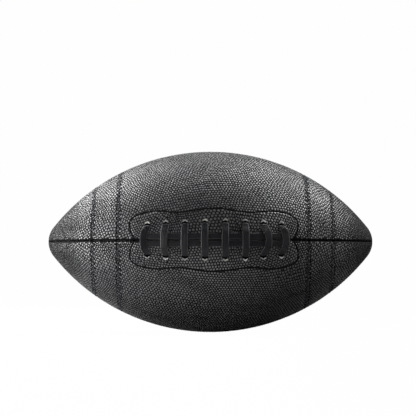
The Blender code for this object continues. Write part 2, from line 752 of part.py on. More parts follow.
def add_bladder(valve_hole):
    """The bladder, its valve's neck and the plug that a pump's needle goes through."""
    bladder = add_object("bladder", bladder_mesh("bladder"), RUBBER_LOOK)
    wall = bladder.modifiers.new("Wall", "SOLIDIFY")
    wall.thickness = BLADDER_WALL
    wall.offset = -1
    boolean(bladder, valve_hole)
    smooth(bladder)

    flange_top = BLADDER_FREE - BLADDER_WALL - GAP - FLANGE_DROP
    flange_bottom = flange_top - FLANGE_THICKNESS
    seat = -PLUG_RECESS - PLUG_HEAD_THICKNESS - GAP
    neck_profile = [
        (NECK_RADIUS, -NECK_RECESS),
        (NECK_RADIUS, flange_top),
        (FLANGE_RADIUS, flange_top),
        (FLANGE_RADIUS, flange_bottom),
        (NECK_RADIUS, flange_bottom),
        (NECK_RADIUS, -VALVE_DEPTH),
        (PLUG_STEM_RADIUS + GAP, -VALVE_DEPTH),
        (PLUG_STEM_RADIUS + GAP, seat),
        (PLUG_HEAD_RADIUS + GAP, seat),
        (PLUG_HEAD_RADIUS + GAP, -NECK_RECESS),
    ]
    neck = turned_object("valve_neck", neck_profile, RUBBER_LOOK)
    neck.matrix_world = valve_frame(0.0)
    plug_profile = [
        (PLUG_HEAD_RADIUS, 0.0),
        (PLUG_HEAD_RADIUS, -PLUG_HEAD_THICKNESS),
        (PLUG_STEM_RADIUS, -PLUG_HEAD_THICKNESS),
        (PLUG_STEM_RADIUS, -PLUG_LENGTH),
        (NEEDLE_RADIUS, -PLUG_LENGTH),
        (NEEDLE_RADIUS, 0.0),
    ]
    plug = turned_object("valve_plug", plug_profile, PLUG_LOOK)
    plug.matrix_world = valve_frame(-PLUG_RECESS)


for old in list(bpy.data.objects):
    bpy.data.objects.remove(old)
PARTS = collection("american_football")
CUTTERS = collection("cutters")

COVER_LOOK = ((0.020, 0.020, 0.022), 0.48)
LINING_LOOK = ((0.30, 0.29, 0.26), 0.85)
THREAD_LOOK = ((0.012, 0.012, 0.014), 0.55)
LACE_LOOK = ((0.018, 0.018, 0.019), 0.42)
RUBBER_LOOK = ((0.035, 0.033, 0.032), 0.60)
PLUG_LOOK = ((0.055, 0.055, 0.055), 0.55)

LACING_HOLES = lacing_cutter()
VALVE_HOLE = valve_cutter()
add_cover(LACING_HOLES, VALVE_HOLE)
add_linings(LACING_HOLES, VALVE_HOLE)
add_stripes()
add_seam_threads()
add_lacing(LACING_HOLES)
add_bladder(VALVE_HOLE)
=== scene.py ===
import math

import bmesh
import bpy
import numpy as np
from mathutils import Matrix, Vector
from mathutils.geometry import delaunay_2d_cdt
from mathutils.kdtree import KDTree


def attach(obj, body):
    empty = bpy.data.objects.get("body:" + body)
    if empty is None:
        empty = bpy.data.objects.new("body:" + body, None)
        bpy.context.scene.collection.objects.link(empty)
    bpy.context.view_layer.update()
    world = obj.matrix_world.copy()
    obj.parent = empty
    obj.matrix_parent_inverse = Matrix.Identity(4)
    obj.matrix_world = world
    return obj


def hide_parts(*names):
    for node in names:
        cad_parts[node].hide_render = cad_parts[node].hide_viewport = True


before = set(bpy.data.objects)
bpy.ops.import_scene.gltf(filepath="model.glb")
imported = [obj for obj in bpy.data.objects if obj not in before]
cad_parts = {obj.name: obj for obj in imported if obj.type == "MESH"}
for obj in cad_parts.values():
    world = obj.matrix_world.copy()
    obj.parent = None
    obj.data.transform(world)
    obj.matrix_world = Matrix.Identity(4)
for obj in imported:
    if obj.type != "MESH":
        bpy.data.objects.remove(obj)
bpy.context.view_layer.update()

QUARTER = math.pi / 2

# The ball, in metres: its outline is a large arc along the body and a small one round each nose
LENGTH = 0.280
DIAMETER = 0.1555
NOSE_RADIUS = 0.020
NOSE_CENTRE = LENGTH / 2 - NOSE_RADIUS
BODY_RADIUS = (NOSE_CENTRE ** 2 + (DIAMETER / 2) ** 2 - NOSE_RADIUS ** 2) / (DIAMETER - 2 * NOSE_RADIUS)
BODY_LEAN = math.asin(NOSE_CENTRE / (BODY_RADIUS - NOSE_RADIUS))
BODY_REACH = BODY_RADIUS * BODY_LEAN
NOSE_STATION = BODY_REACH + NOSE_RADIUS * (QUARTER - BODY_LEAN)
TIP_RADIUS = 0.00015
TIP_STATION = BODY_REACH + NOSE_RADIUS * (math.acos(TIP_RADIUS / NOSE_RADIUS) - BODY_LEAN)

# The cover: turned-in seam edges, and leather with a raised pebble
SEAM_GAP = 0.0003
SEAM_ROUNDING = 0.0018
HEM_THICKNESS = 0.0012
HEM_DEPTH = 0.0033
COVER_THICKNESS = 0.0020
NOSE_FADE = 0.006
EDGE_STEP = 0.0006
COARSE_STEP = 0.0040
# Each panel's name, its middle turn and its pebble rows' tilt in degrees, and its side of the lacing
PANELS = (
    ("front_upper", 45, 5.0, 1),
    ("front_lower", -45, -6.0, -1),
    ("back_upper", 135, 4.0, 0),
    ("back_lower", -135, -5.0, 0),
)
PEBBLE_PITCH = 0.00245
PEBBLE_DEPTH = 0.0005
PEBBLE_JITTER = 0.13
SMALLEST_PEBBLE = 0.78
# The rows wander off their lines this far, in waves of about this many radians to the metre
PEBBLE_WANDER = 0.0010
WANDER_RATE = 90.0
# Pebbles that crowd each other move apart by this share of what they lack
PEBBLE_PUSH = 0.28
# A place is a pebble's top where the next pebble's middle is this many pitches farther than its own,
# and a valley where both are as near. The fullness rounds what lies between.
TOP_SHARE = 0.92
PEBBLE_FULLNESS = 2.2
# Neighbours are at most this many pitches apart, and have a point each at this share of the way from
# their tops to the middle between them
NEIGHBOUR_REACH = 1.9
FLANK_SHARE = 0.58
# Leather without a pebble shines this much of what a pebble's top does
FLAT_SHINE = 0.54
# A rolled seam edge, and a cut edge too, keeps the satin look up to the first angle, and over the second
# fades into painted shade
SEAM_LIT = math.radians(8)
SEAM_FADES = math.radians(34)
# Between these distances from a middle that is shifted a little, the pebble loses this share
NOSE_SMOOTH = (0.122, 0.140)
NOSE_SHIFT = 0.005
NOSE_LOSS = 0.88

# Stripe bands and their zigzag stitching
STRIPE_WIDTH = 0.0254
STRIPE_FROM_NOSE = 0.0616
STRIPE_STATION = NOSE_STATION - STRIPE_FROM_NOSE - STRIPE_WIDTH
FEATURE_SHIFT = 0.0024
BAND_RECESS = 0.0011
BAND_THICKNESS = 0.0008
JOINT_DIP = 0.00035
JOINT_DIP_REACH = 0.0026
JOINT_CREASE = 0.00018
CREASE_REACH = 0.0007
# The pebble that is left on a joint, and how soon it is whole again
JOINT_PEBBLE = 0.8
JOINT_PEBBLE_REACH = 0.0010
STITCH_REACH = 0.00155
STITCH_PITCH = 0.0040
STITCH_EDGE = 0.0033
THREAD_RADIUS = 0.00032
THREAD_SIDES = 6
THREAD_STEP = 0.0004
# A thread's heights between two needle holes, by its share of the way, and in a hole
THREAD_HEIGHTS = ((0.2, -0.00022), (0.5, -0.00010), (0.8, -0.00022))
THREAD_IN_HOLE = -0.00095
NEEDLE_HOLE_RADIUS = 0.00050
NEEDLE_HOLE_DEPTH = 0.0010
BAND_CLEARANCE = 0.00012
# Painted shade darkens a needle hole and the cover beside a facing's edge this far out, and fades over as
# much again
PAINTED_SHADE_REACH = 0.0006
# The cover's crease along a facing's edge, and how soon a bed reaches its depth
EDGE_CREASE = 0.0005
EDGE_CREASE_REACH = 0.0010
BED_REACH = 0.0005
# Panels carry on this far under the bands and the facings as pebbled leather
HIDDEN_UNDER_BAND = 0.0012
HIDDEN_UNDER_FACING = 0.0014
# The facings lie within this of the lacing's middle, and nearer the seam than this arc
FACING_ZONE = 0.075
FACING_ZONE_ARC = -0.020
# Mesh lines beside each joint and beside a facing's edge, which keep these crisp, and round a lace hole
JOINT_LINES = (-0.0008, -0.00035, 0.0, 0.00035, 0.0008)
EDGE_LINES = (-0.0008, -0.0004, 0.0, 0.0004, 0.0008)
HOLE_LINES = (0.0005, 0.0010, 0.0016)
# The room that mesh points leave: pebbles' to those lines, all to the outlines, and the needle holes'
# own, which may come nearer, to the outlines
LINE_ROOM = 0.00030
OUTLINE_ROOM = 0.00034
NEEDLE_ROOM = 0.00025

# Lacing
LACE_WIDTH = 0.0056
LACE_THICKNESS = 0.0011
LACE_BEND = 0.00095
LONG_RUN_REACH = 0.0030
# Each cross, left to right: its station from the lacing's middle, how far from the seam its lace
# goes in, and how far it bows along the ball where it goes over the long runs
CROSSES = (
    (-0.0556, 0.0118, -0.0026),
    (-0.0399, 0.0128, -0.0012),
    (-0.0238, 0.0132, -0.0004),
    (-0.0075, 0.0137, -0.0003),
    (0.0092, 0.0139, -0.0003),
    (0.0255, 0.0137, 0.0002),
    (0.0409, 0.0128, 0.0040),
    (0.0566, 0.0118, 0.0029),
)
# A lace hole's length along the ball and its far edge from the lace, at the facing's top and
# underside and at the cover's underside: it narrows inward, which shows its cut wall
HOLE_LEVELS = ((0.0029, 0.0031), (0.0028, 0.0019), (0.0028, 0.0012))
HOLE_NEAR = 0.00105
# A hole is pointed on its far side and full on its near one, and past this share its lip is pale
HOLE_POINTED = 1.9
HOLE_FULL = 0.5
LIP_SHARE = 0.6
LIP_RAISE = 0.00035
HOLE_RAISE = 0.00008
NARROW_REACH = 0.0030
NARROW_SHARE = 0.09
CURL_REACH = 0.0016
CURL = 0.0004
LACE_GROOVE = 0.00016
LACE_CROWN = 0.00006
RUN_SHARE = 0.10
LACE_RIBS = 4
WAVER = 0.012
LACE_STEP = 0.0005
SHORTEST_STEP = 0.00012
END_LEAN = math.radians(30)
END_RAISE = 0.0008
# The end crosses lean fully up to this far from the seam, and less over the next distance
LEAN_REACH = 0.006
LEAN_FADE = 0.005
TURN_RADIUS = 0.0038
SLOT_ROOM = 0.0003
TAIL_LENGTH = 0.0070
FACING_THICKNESS = 0.00065
FACING_PROUD = 0.00025
FACING_EDGE_DROP = 0.0004
FACING_EDGE_REACH = 0.0009
# The pebble that is left at a facing's edge and at its holes
FACING_EDGE_PEBBLE = 0.25
HOLE_PEBBLE = 0.2
FACING_RECESS = 0.0010
FACING_LENGTH = 0.1384
FACING_MIDDLE = 0.0255
FACING_DIP = 0.0223
FACING_SIDE = 0.0234
FACING_DIP_PLACE = 0.0315
FACING_SIDE_PLACE = 0.0460
FACING_END_HEIGHT = 0.0140
FACING_END_CURL = 0.0072
LACE_CLEARANCE = 0.0003
LACE_LOW = FACING_PROUD + LACE_CLEARANCE + LACE_THICKNESS / 2
LACE_HIGH = LACE_LOW + LACE_THICKNESS + 0.0007
LACE_INSIDE = -0.00468

# Valve
VALVE_TURN = math.radians(135)
VALVE_HOLE_RADIUS = 0.0058
VALVE_ROUNDING = 0.00012


# Places on the ball

def outline(station):
    """The outer surface at stations along it: x, radius, and the normal along x and the radius."""
    station = np.asarray(station, float)
    side = np.where(station < 0, -1.0, 1.0)
    reach = np.abs(station)
    on_body = reach <= BODY_REACH
    lean = np.where(on_body, reach / BODY_RADIUS, BODY_LEAN + (reach - BODY_REACH) / NOSE_RADIUS)
    x = np.where(on_body, BODY_RADIUS * np.sin(lean), NOSE_CENTRE + NOSE_RADIUS * np.sin(lean))
    flat = BODY_RADIUS - DIAMETER / 2
    radius = np.where(on_body, BODY_RADIUS * np.cos(lean) - flat, NOSE_RADIUS * np.cos(lean))
    return side * x, radius, side * np.sin(lean), np.cos(lean)


def ball_points(station, turn, height):
    """Points at stations, turns about the long axis and heights over the surface."""
    x, radius, normal_x, normal_radius = outline(station)
    reach = radius + height * normal_radius
    return np.stack([x + height * normal_x, -reach * np.cos(turn), reach * np.sin(turn)], axis=-1)


def ball_place(points):
    """The station and turn of the surface under each point."""
    x, y, z = points.T
    radius = np.hypot(y, z)
    lean = np.arctan2(np.abs(x), radius + BODY_RADIUS - DIAMETER / 2)
    nose_lean = np.arctan2(np.abs(x) - NOSE_CENTRE, radius)
    nose_station = BODY_REACH + NOSE_RADIUS * (nose_lean - BODY_LEAN)
    reach = np.where(lean <= BODY_LEAN, lean * BODY_RADIUS, nose_station)
    return np.sign(x) * reach, np.arctan2(z, -y)


def radius_at(station):
    """How far the outer surface lies from the long axis."""
    return outline(station)[1]


def ease(share):
    """A share from 0 to 1 that starts and ends at rest."""
    share = np.clip(share, 0.0, 1.0)
    return share * share * (3 - 2 * share)


def fall(apart, reach, start=0.0):
    """From 1 at a start down to 0 a reach farther, at rest at both."""
    return 1 - ease((apart - start) / reach)


def ring_angles(count):
    return np.linspace(0.0, 2 * math.pi, count, endpoint=False)


def directions(line):
    """The way that a line goes at each of its points."""
    ways = np.gradient(line, axis=0)
    return ways / np.linalg.norm(ways, axis=1)[:, None]


def distances(line):
    """How far along a line each of its points lies."""
    return np.concatenate([[0.0], np.cumsum(np.linalg.norm(np.diff(line, axis=0), axis=1))])


# Pebbles: one set of centres over the whole ball

def pebble_centres():
    """Crowded places over the ball, in wandering rows on each panel, as an embossed skin has them."""
    chance = np.random.default_rng(7)
    column, row = np.meshgrid(np.arange(-75, 76), np.arange(-45, 46))
    along = ((column + (row % 2) / 2) * PEBBLE_PITCH).ravel()
    across = (row * PEBBLE_PITCH * math.sin(math.radians(60))).ravel()
    stations, turns = [], []
    for _, middle, tilt, _ in PANELS:
        tilt = math.radians(tilt)
        places = np.column_stack([along * math.cos(tilt) - across * math.sin(tilt),
                                  along * math.sin(tilt) + across * math.cos(tilt)])
        drift = np.zeros_like(places)
        for _ in range(5):
            wave = places @ chance.normal(0.0, WANDER_RATE, 2) + chance.uniform(0, 6.28)
            drift += np.sin(wave)[:, None] * chance.normal(0.0, PEBBLE_WANDER, 2)
        places += drift + chance.normal(0.0, PEBBLE_PITCH * PEBBLE_JITTER, places.shape)
        station, arc = places.T
        radius = radius_at(station)
        kept = (np.abs(station) < NOSE_STATION) & (np.abs(arc) < radius * QUARTER / 2)
        stations.append(station[kept])
        turns.append(math.radians(middle) + arc[kept] / radius[kept])
    points = ball_points(np.concatenate(stations), np.concatenate(turns), 0.0)
    for _ in range(3):
        tree = tree_of(points)
        pushed = np.zeros_like(points)
        for i, point in enumerate(points):
            for near, _, apart in tree.find_n(point, 7)[1:]:
                if apart < PEBBLE_PITCH:
                    pushed[i] += (point - np.array(near)) * (PEBBLE_PITCH - apart) / max(apart, 1e-6)
        station, turn = ball_place(points + PEBBLE_PUSH * pushed)
        points = ball_points(station, turn, 0.0)
    return station, turn, points, chance.uniform(SMALLEST_PEBBLE, 1.0, len(turn))


def tree_of(points):
    tree = KDTree(len(points))
    for i, point in enumerate(points):
        tree.insert(point, i)
    tree.balance()
    return tree


PEBBLE_STATION, PEBBLE_TURN, PEBBLE_PLACE, PEBBLE_SIZE = pebble_centres()
PEBBLE_TREE = tree_of(PEBBLE_PLACE)


def pebble_at(station, turn, spin):
    """How high each place lies on its pebble, 0 in the valleys and 1 on the tops."""
    high = np.empty(len(station))
    for i, point in enumerate(ball_points(station, turn + spin, 0.0)):
        (_, first, near), (_, _, next_near) = PEBBLE_TREE.find_n(point, 2)
        share = min(1.0, (next_near - near) / (TOP_SHARE * PEBBLE_PITCH))
        high[i] = PEBBLE_SIZE[first] * (1 - (1 - share) ** PEBBLE_FULLNESS)
    return high


# Sheets: a domain of (station, arc from a middle turn), cut and triangulated

def triangles(points, loops):
    """Triangles over free points and closed outlines, and where each outline point ended up."""
    every = [Vector(p) for p in points]
    edges = []
    for loop in loops:
        first = len(every)
        every += [Vector(p) for p in loop]
        count = len(loop)
        edges += [(first + i, first + (i + 1) % count) for i in range(count)]
    made, _, faces, origins, _, _ = delaunay_2d_cdt(every, edges, [], 0, 1e-8, True)
    made = np.array([tuple(p) for p in made])
    faces = np.array([tuple(face) for face in faces if len(face) == 3])
    a, b, c = made[faces[:, 0]], made[faces[:, 1]], made[faces[:, 2]]
    area = (b[:, 0] - a[:, 0]) * (c[:, 1] - a[:, 1]) - (b[:, 1] - a[:, 1]) * (c[:, 0] - a[:, 0])
    faces[area < 0] = faces[area < 0][:, ::-1]
    inside = np.zeros(len(faces), bool)
    middle = made[faces].mean(axis=1)
    for loop in loops:
        inside ^= within(middle, loop)
    place = {}
    for i, origin in enumerate(origins):
        for j in origin:
            place[j] = i
    where = []
    first = len(points)
    for loop in loops:
        where.append(np.array([place[first + i] for i in range(len(loop))]))
        first += len(loop)
    return made, faces[inside & (np.abs(area) > 1e-13)], where


def within(points, loop):
    """Which points lie inside a closed outline."""
    x, y = points[:, 0], points[:, 1]
    inside = np.zeros(len(points), bool)
    x0, y0 = loop[-1]
    for x1, y1 in loop:
        if y0 != y1:
            crosses = (y0 > y) != (y1 > y)
            inside ^= crosses & (x < (x1 - x0) * (y - y0) / (y1 - y0) + x0)
        x0, y0 = x1, y1
    return inside


def away_from(points, others, reach):
    """The points that keep a distance from all the others."""
    if not len(others) or not len(points):
        return points
    tree = tree_of(np.column_stack([others, np.zeros(len(others))]))
    kept = [tree.find((x, y, 0.0))[2] > reach for x, y in points]
    return points[np.array(kept)]


def pebble_points(middle_turn, spin, low, high, reach):
    """Sheet points on every pebble of a zone: its top, a ring on its flank, and its valleys."""
    turn = (PEBBLE_TURN - spin - middle_turn + math.pi) % (2 * math.pi) - math.pi
    chosen = (PEBBLE_STATION > low) & (PEBBLE_STATION < high) & (np.abs(turn) < reach)
    station, turn = PEBBLE_STATION[chosen], turn[chosen]
    centres = np.column_stack([station, turn * radius_at(station)])
    _, edges, faces, *_ = delaunay_2d_cdt([Vector(p) for p in centres], [], [], 0, 1e-8, False)
    ends = centres[np.array(edges)]
    ends = ends[np.linalg.norm(ends[:, 0] - ends[:, 1], axis=1) < NEIGHBOUR_REACH * PEBBLE_PITCH]
    middle = ends.mean(axis=1)
    flank = np.concatenate([ends[:, k] + FLANK_SHARE * (middle - ends[:, k]) for k in (0, 1)])
    valley = np.array([centres[list(face)].mean(axis=0) for face in faces])
    return np.concatenate([centres, middle, flank, valley])


class Shell:
    """A mesh under way: its points, faces, and two values carried by each point."""

    def __init__(self):
        self.points, self.pebble, self.raw, self.faces = [], [], [], []
        self.count = 0

    def add(self, points, pebble=0.0, raw=0.0):
        count = len(points)
        self.points.append(np.asarray(points))
        self.pebble.append(np.broadcast_to(pebble, count))
        self.raw.append(np.broadcast_to(raw, count))
        self.count += count
        return np.arange(self.count - count, self.count)

    def add_faces(self, faces):
        self.faces += [tuple(int(i) for i in face) for face in faces]

    def wall(self, upper, lower):
        """Quads between two closed rows, the upper one going round with its material on the left."""
        self.add_faces(zip(upper, lower, np.roll(lower, -1), np.roll(upper, -1)))

    def finish(self, name, look):
        mesh = bpy.data.meshes.new(name)
        mesh.from_pydata(np.concatenate(self.points).tolist(), [], self.faces)
        carry(mesh, "pebble", np.concatenate(self.pebble))
        carry(mesh, "raw", np.concatenate(self.raw))
        mesh.validate()
        return place_piece(name, mesh, look, 60)


def carry(mesh, label, values):
    """Give each of a mesh's points a value for its material."""
    layer = mesh.attributes.new(label, "FLOAT", "POINT")
    layer.data.foreach_set("value", values.astype(np.float32))


def place_piece(name, mesh, look, sharp_degrees):
    mesh.materials.append(look)
    mesh.shade_smooth()
    mesh.set_sharp_from_angle(angle=math.radians(sharp_degrees))
    return linked(name, mesh)


def linked(name, data):
    """A new object in the scene."""
    made = bpy.data.objects.new(name, data)
    bpy.context.scene.collection.objects.link(made)
    return made


# Seam edges, stitching holes and the facings' outline

def seam_turn(station, offset, height):
    """How far round from a seam's plane a point lies that is offset from that plane."""
    _, radius, _, normal_radius = outline(station)
    return np.arcsin(np.minimum(1.0, offset / np.maximum(radius + height * normal_radius, 1e-6)))


def seam_fade(station):
    """How much of a seam's rounding is left toward the noses."""
    return np.minimum(1.0, outline(station)[1] / NOSE_FADE)


def roll(station, side, middle_turn, angle, raised):
    """Points on a seam's rounded edge, an angle round it and raised off it."""
    fade = seam_fade(station)
    offset = fade * (SEAM_GAP / 2 + SEAM_ROUNDING * (1 - math.sin(angle))) - raised * math.sin(angle)
    height = -fade * SEAM_ROUNDING * (1 - math.cos(angle)) + raised * math.cos(angle)
    return seam_point(station, side, middle_turn, offset, height)


def seam_point(station, side, middle_turn, offset, height):
    turn = middle_turn + side * (QUARTER / 2 - seam_turn(station, offset, height))
    return ball_points(station, turn, height)


def edge_arc(station, offset):
    """The arc from a panel's middle to a line beside its seam."""
    return radius_at(station) * (QUARTER / 2 - seam_turn(station, offset, 0.0))


def shoulder(station):
    """The arc from a panel's middle to where its seam's rounding starts."""
    return edge_arc(station, seam_fade(station) * (SEAM_GAP / 2 + SEAM_ROUNDING))


def steps(start, end, step):
    """Even places from start to end, about a step apart."""
    return np.linspace(start, end, max(2, int(abs(end - start) / step) + 1))


JOINTS = sorted(FEATURE_SHIFT + side * (STRIPE_STATION + far)
                for side in (-1, 1) for far in (0.0, STRIPE_WIDTH))
BAND_ZONES = ((JOINTS[0], JOINTS[1]), (JOINTS[2], JOINTS[3]))


def stitch_corners(middle_turn, line):
    """The needle holes of one zigzag: stations and turns, to either side of a joint by turns."""
    first = float(seam_turn(line, STITCH_EDGE, 0.0))
    count = round(float(radius_at(line)) * (QUARTER - 2 * first) / (STITCH_PITCH / 2))
    turn = middle_turn - QUARTER / 2 + np.linspace(first, QUARTER - first, count + 1)
    station = line + STITCH_REACH * np.where(np.arange(count + 1) % 2, 1.0, -1.0)
    return station, turn


def facing_outline():
    """The facings' wavy edge from its left end to its right one, in x and z from the front."""
    half = []
    for x in np.linspace(0.0, FACING_DIP_PLACE, 60)[:-1]:
        wave = (1 + math.cos(math.pi * x / FACING_DIP_PLACE)) / 2
        half.append((x, FACING_DIP + (FACING_MIDDLE - FACING_DIP) * wave))
    for x in np.linspace(FACING_DIP_PLACE, FACING_SIDE_PLACE, 28)[:-1]:
        wave = (1 - math.cos(math.pi * (x - FACING_DIP_PLACE) / (FACING_SIDE_PLACE - FACING_DIP_PLACE))) / 2
        half.append((x, FACING_DIP + (FACING_SIDE - FACING_DIP) * wave))
    end = FACING_LENGTH / 2
    for angle in np.linspace(0.0, QUARTER, 48)[:-1]:
        x = FACING_SIDE_PLACE + (end - FACING_SIDE_PLACE) * math.sin(angle)
        half.append((x, FACING_END_HEIGHT + (FACING_SIDE - FACING_END_HEIGHT) * math.cos(angle)))
    for angle in np.linspace(0.0, QUARTER, 32):
        x = end - FACING_END_CURL * (1 - math.cos(angle))
        half.append((x, FACING_END_HEIGHT * (1 - math.sin(angle))))
    return np.array([(-x, z) for x, z in reversed(half[1:])] + half)


def facing_edge(side, middle_turn):
    """One facing's edge on its panel's sheet, between its two ends at the seam's shoulder."""
    x, z = facing_outline().T
    station = BODY_RADIUS * np.arcsin((x + FEATURE_SHIFT) / BODY_RADIUS)
    radius = radius_at(station)
    arc = radius * (side * np.arcsin(z / radius) - middle_turn)
    inner = np.abs(arc) < shoulder(station)
    first, last = np.flatnonzero(inner)[[0, -1]]
    inner[[max(first - 1, 0), min(last + 1, len(inner) - 1)]] = True
    station, arc = station[inner], arc[inner]
    for end, near in ((0, 1), (-1, -2)):
        span = shoulder(station) - np.abs(arc)
        share = span[near] / (span[near] - span[end])
        station[end] = station[near] + share * (station[end] - station[near])
        arc[end] = -side * shoulder(station[end])
    return np.column_stack([station, arc])


def lace_holes(side, middle_turn, level):
    """The lace holes' outlines on a panel's sheet, each going round clockwise."""
    loops = []
    half_length, far = HOLE_LEVELS[level]
    angle = -ring_angles(36)
    outward = np.sin(angle) > 0
    wide = np.sign(np.cos(angle)) * np.abs(np.cos(angle)) ** np.where(outward, HOLE_POINTED, HOLE_FULL)
    for station, reach, _ in CROSSES:
        along = FEATURE_SHIFT + station + half_length * wide
        across = reach + np.where(outward, far, HOLE_NEAR) * np.sin(angle)
        loop = np.column_stack([along, side * across - radius_at(along) * middle_turn])
        loops.append(loop if side > 0 else loop[::-1])
    return loops


def nearest(points, targets):
    """How far each point lies from the nearest of the targets."""
    tree = tree_of(targets)
    return np.array([tree.find(point)[2] for point in points])


# Leather pieces

class Relief:
    """How high a leather piece stands over the ball, and how much of its pebble is left there.

    The heights come with three shares: the pebble that is left, how dark a place is with painted shade, and
    how raw.
    """

    def __init__(self, middle_turn, side):
        self.middle_turn, self.side = middle_turn, side
        if side:
            corners = [stitch_corners(middle_turn, line) for line in JOINTS]
            self.pit_station, self.pit_turn = [np.concatenate(part) for part in zip(*corners)]
            self.pits = ball_points(self.pit_station, self.pit_turn, 0.0)
            self.edge = facing_edge(side, middle_turn)
            self.edge_points = self.on_ball(self.edge)
            holes = lace_holes(side, middle_turn, 0)
            self.hole_points = self.on_ball(np.concatenate(holes))
            lips = []
            for (_, reach, _), hole in zip(CROSSES, holes):
                across = np.abs(hole[:, 1] + middle_turn * radius_at(hole[:, 0]))
                lips.append(hole[across > reach + HOLE_LEVELS[0][1] * LIP_SHARE])
            self.lip_points = self.on_ball(np.concatenate(lips))
            front = np.array([[self.edge[-1, 0], -side], [self.edge[0, 0], -side]])
            self.facing_area = np.concatenate([self.edge, front])

    def on_ball(self, sheet, height=0.0):
        station, arc = sheet.T
        return ball_points(station, self.middle_turn + arc / radius_at(station), height)

    def stitched(self, sheet):
        """A band, or a panel before its beds: the dip, crease and needle holes along the joints."""
        station = sheet[:, 0]
        height, dark, raw = np.zeros((3, len(station)))
        start, end = NOSE_SMOOTH
        left = 1 - NOSE_LOSS * ease((np.abs(station - NOSE_SHIFT) - start) / (end - start))
        if not self.side:
            return height, left, dark, raw
        for line in JOINTS:
            apart = np.abs(station - line)
            height -= JOINT_DIP * fall(apart, JOINT_DIP_REACH)
            height -= JOINT_CREASE * fall(apart, CREASE_REACH)
            left *= JOINT_PEBBLE + (1 - JOINT_PEBBLE) * ease(apart / JOINT_PEBBLE_REACH)
        near = np.min([np.abs(station - line) for line in JOINTS], axis=0) < STITCH_PITCH
        apart = nearest(self.on_ball(sheet[near]), self.pits)
        height[near] -= NEEDLE_HOLE_DEPTH * fall(apart, 1.5 * NEEDLE_HOLE_RADIUS)
        left[near] *= ease((apart - 0.0003) / 0.0006)
        # Painted shade: the leather in and round each needle hole takes the near-black look
        dark[near] = fall(apart, PAINTED_SHADE_REACH, PAINTED_SHADE_REACH)
        return height, left, dark, raw

    def cover(self, sheet):
        """A panel: it dips at each joint, and lies lower under the bands and the facing."""
        station, arc = sheet.T
        height, left, dark, raw = self.stitched(sheet)
        if not self.side:
            return height, left, dark, raw
        joint = JOINT_CREASE + JOINT_DIP
        for low, high in BAND_ZONES:
            under = (station > low) & (station < high)
            deep = np.minimum(station - low, high - station)[under]
            height[under] = -joint - (BAND_RECESS - joint) * ease(deep / BED_REACH)
            # Painted shade: the bed under a band takes the near-black look
            left[under], dark[under] = 0.0, 1.0
        around = (np.abs(station - FEATURE_SHIFT) < FACING_ZONE) & (self.side * arc < FACING_ZONE_ARC)
        apart = nearest(self.on_ball(sheet[around]), self.edge_points)
        inside = within(sheet[around], self.facing_area)
        outer = -EDGE_CREASE * fall(apart, EDGE_CREASE_REACH)
        inner = -EDGE_CREASE - (FACING_RECESS - EDGE_CREASE) * ease(apart / BED_REACH)
        height[around] += np.where(inside, inner, outer)
        left[around] *= np.where(inside, 0.0, ease((apart - 0.0001) / 0.0009))
        # Painted shade: the bed under the facing, and the cover along its edge, take the near-black look
        edge_shade = np.where(inside, 1.0, fall(apart, PAINTED_SHADE_REACH, PAINTED_SHADE_REACH))
        dark[around] = np.maximum(dark[around], edge_shade)
        return height, left, dark, raw

    def facing(self, sheet):
        """A facing: proud of the cover, rolled off at its edge and lifted round each hole."""
        station, arc = sheet.T
        points = self.on_ball(sheet)
        apart, hole, lip = [nearest(points, targets)
                            for targets in (self.edge_points, self.hole_points, self.lip_points)]
        height = FACING_PROUD - FACING_EDGE_DROP * fall(apart, FACING_EDGE_REACH)
        left = FACING_EDGE_PEBBLE + (1 - FACING_EDGE_PEBBLE) * ease(apart / FACING_EDGE_REACH)
        # Painted shade along the facing's rolled edge
        dark = 0.9 * fall(apart, 0.0004, 0.0001)
        height += HOLE_RAISE * fall(hole, 0.0018) + LIP_RAISE * fall(lip, 0.0020)
        across = np.abs(self.middle_turn * radius_at(station) + arc)
        height -= height * fall(across, 0.0010, 0.0018)
        left *= HOLE_PEBBLE + (1 - HOLE_PEBBLE) * ease((hole - 0.0002) / 0.0012)
        return height, left, dark, fall(lip, 0.0006, 0.0002)

    def bare(self, sheet):
        """Which of a panel's places no band and no facing covers."""
        hidden = np.zeros(len(sheet), bool)
        if self.side and len(sheet):
            station = sheet[:, 0]
            for low, high in BAND_ZONES:
                hidden |= (station > low + HIDDEN_UNDER_BAND) & (station < high - HIDDEN_UNDER_BAND)
            under = within(sheet, self.facing_area)
            apart = nearest(self.on_ball(sheet[under]), self.edge_points)
            hidden[under] |= apart > HIDDEN_UNDER_FACING
        return ~hidden


def everywhere(sheet):
    return np.ones(len(sheet), bool)


def inside_loops(sheet, loops, reach):
    """The points of a sheet that lie inside its outline, clear of it and of its holes."""
    return away_from(sheet[within(sheet, loops[0])], np.concatenate(loops), reach)


def pit_points(relief, low, high):
    """The needle holes' middles in a zone, and sheet points in and round each."""
    chosen = (relief.pit_station > low) & (relief.pit_station < high)
    station, turn = relief.pit_station[chosen], relief.pit_turn[chosen]
    centre = np.column_stack([station, (turn - relief.middle_turn) * radius_at(station)])
    rings = [centre]
    for count, reach in ((6, 0.5), (8, 1.5)):
        for angle in ring_angles(count):
            rings.append(centre + reach * NEEDLE_HOLE_RADIUS * np.array([math.cos(angle), math.sin(angle)]))
    return centre, np.concatenate(rings)


def across_panel(station):
    """Sheet points on a line across a panel, from seam to seam."""
    reach = float(shoulder(station))
    arc = steps(-reach, reach, EDGE_STEP)
    return np.column_stack([np.full(len(arc), station), arc])


def rails(relief, low, high):
    """Sheet points on lines beside the joints and the facing's edge."""
    if not relief.side:
        return np.zeros((0, 2))
    found = [across_panel(line + offset) for line in JOINTS for offset in JOINT_LINES
             if low - 0.0001 < line + offset < high + 0.0001]
    return np.concatenate(found + [beside(relief.edge, offset) for offset in EDGE_LINES])


def beside(line, offset):
    """A line's copy an offset to its left."""
    along = directions(line)
    return line + offset * np.column_stack([-along[:, 1], along[:, 0]])


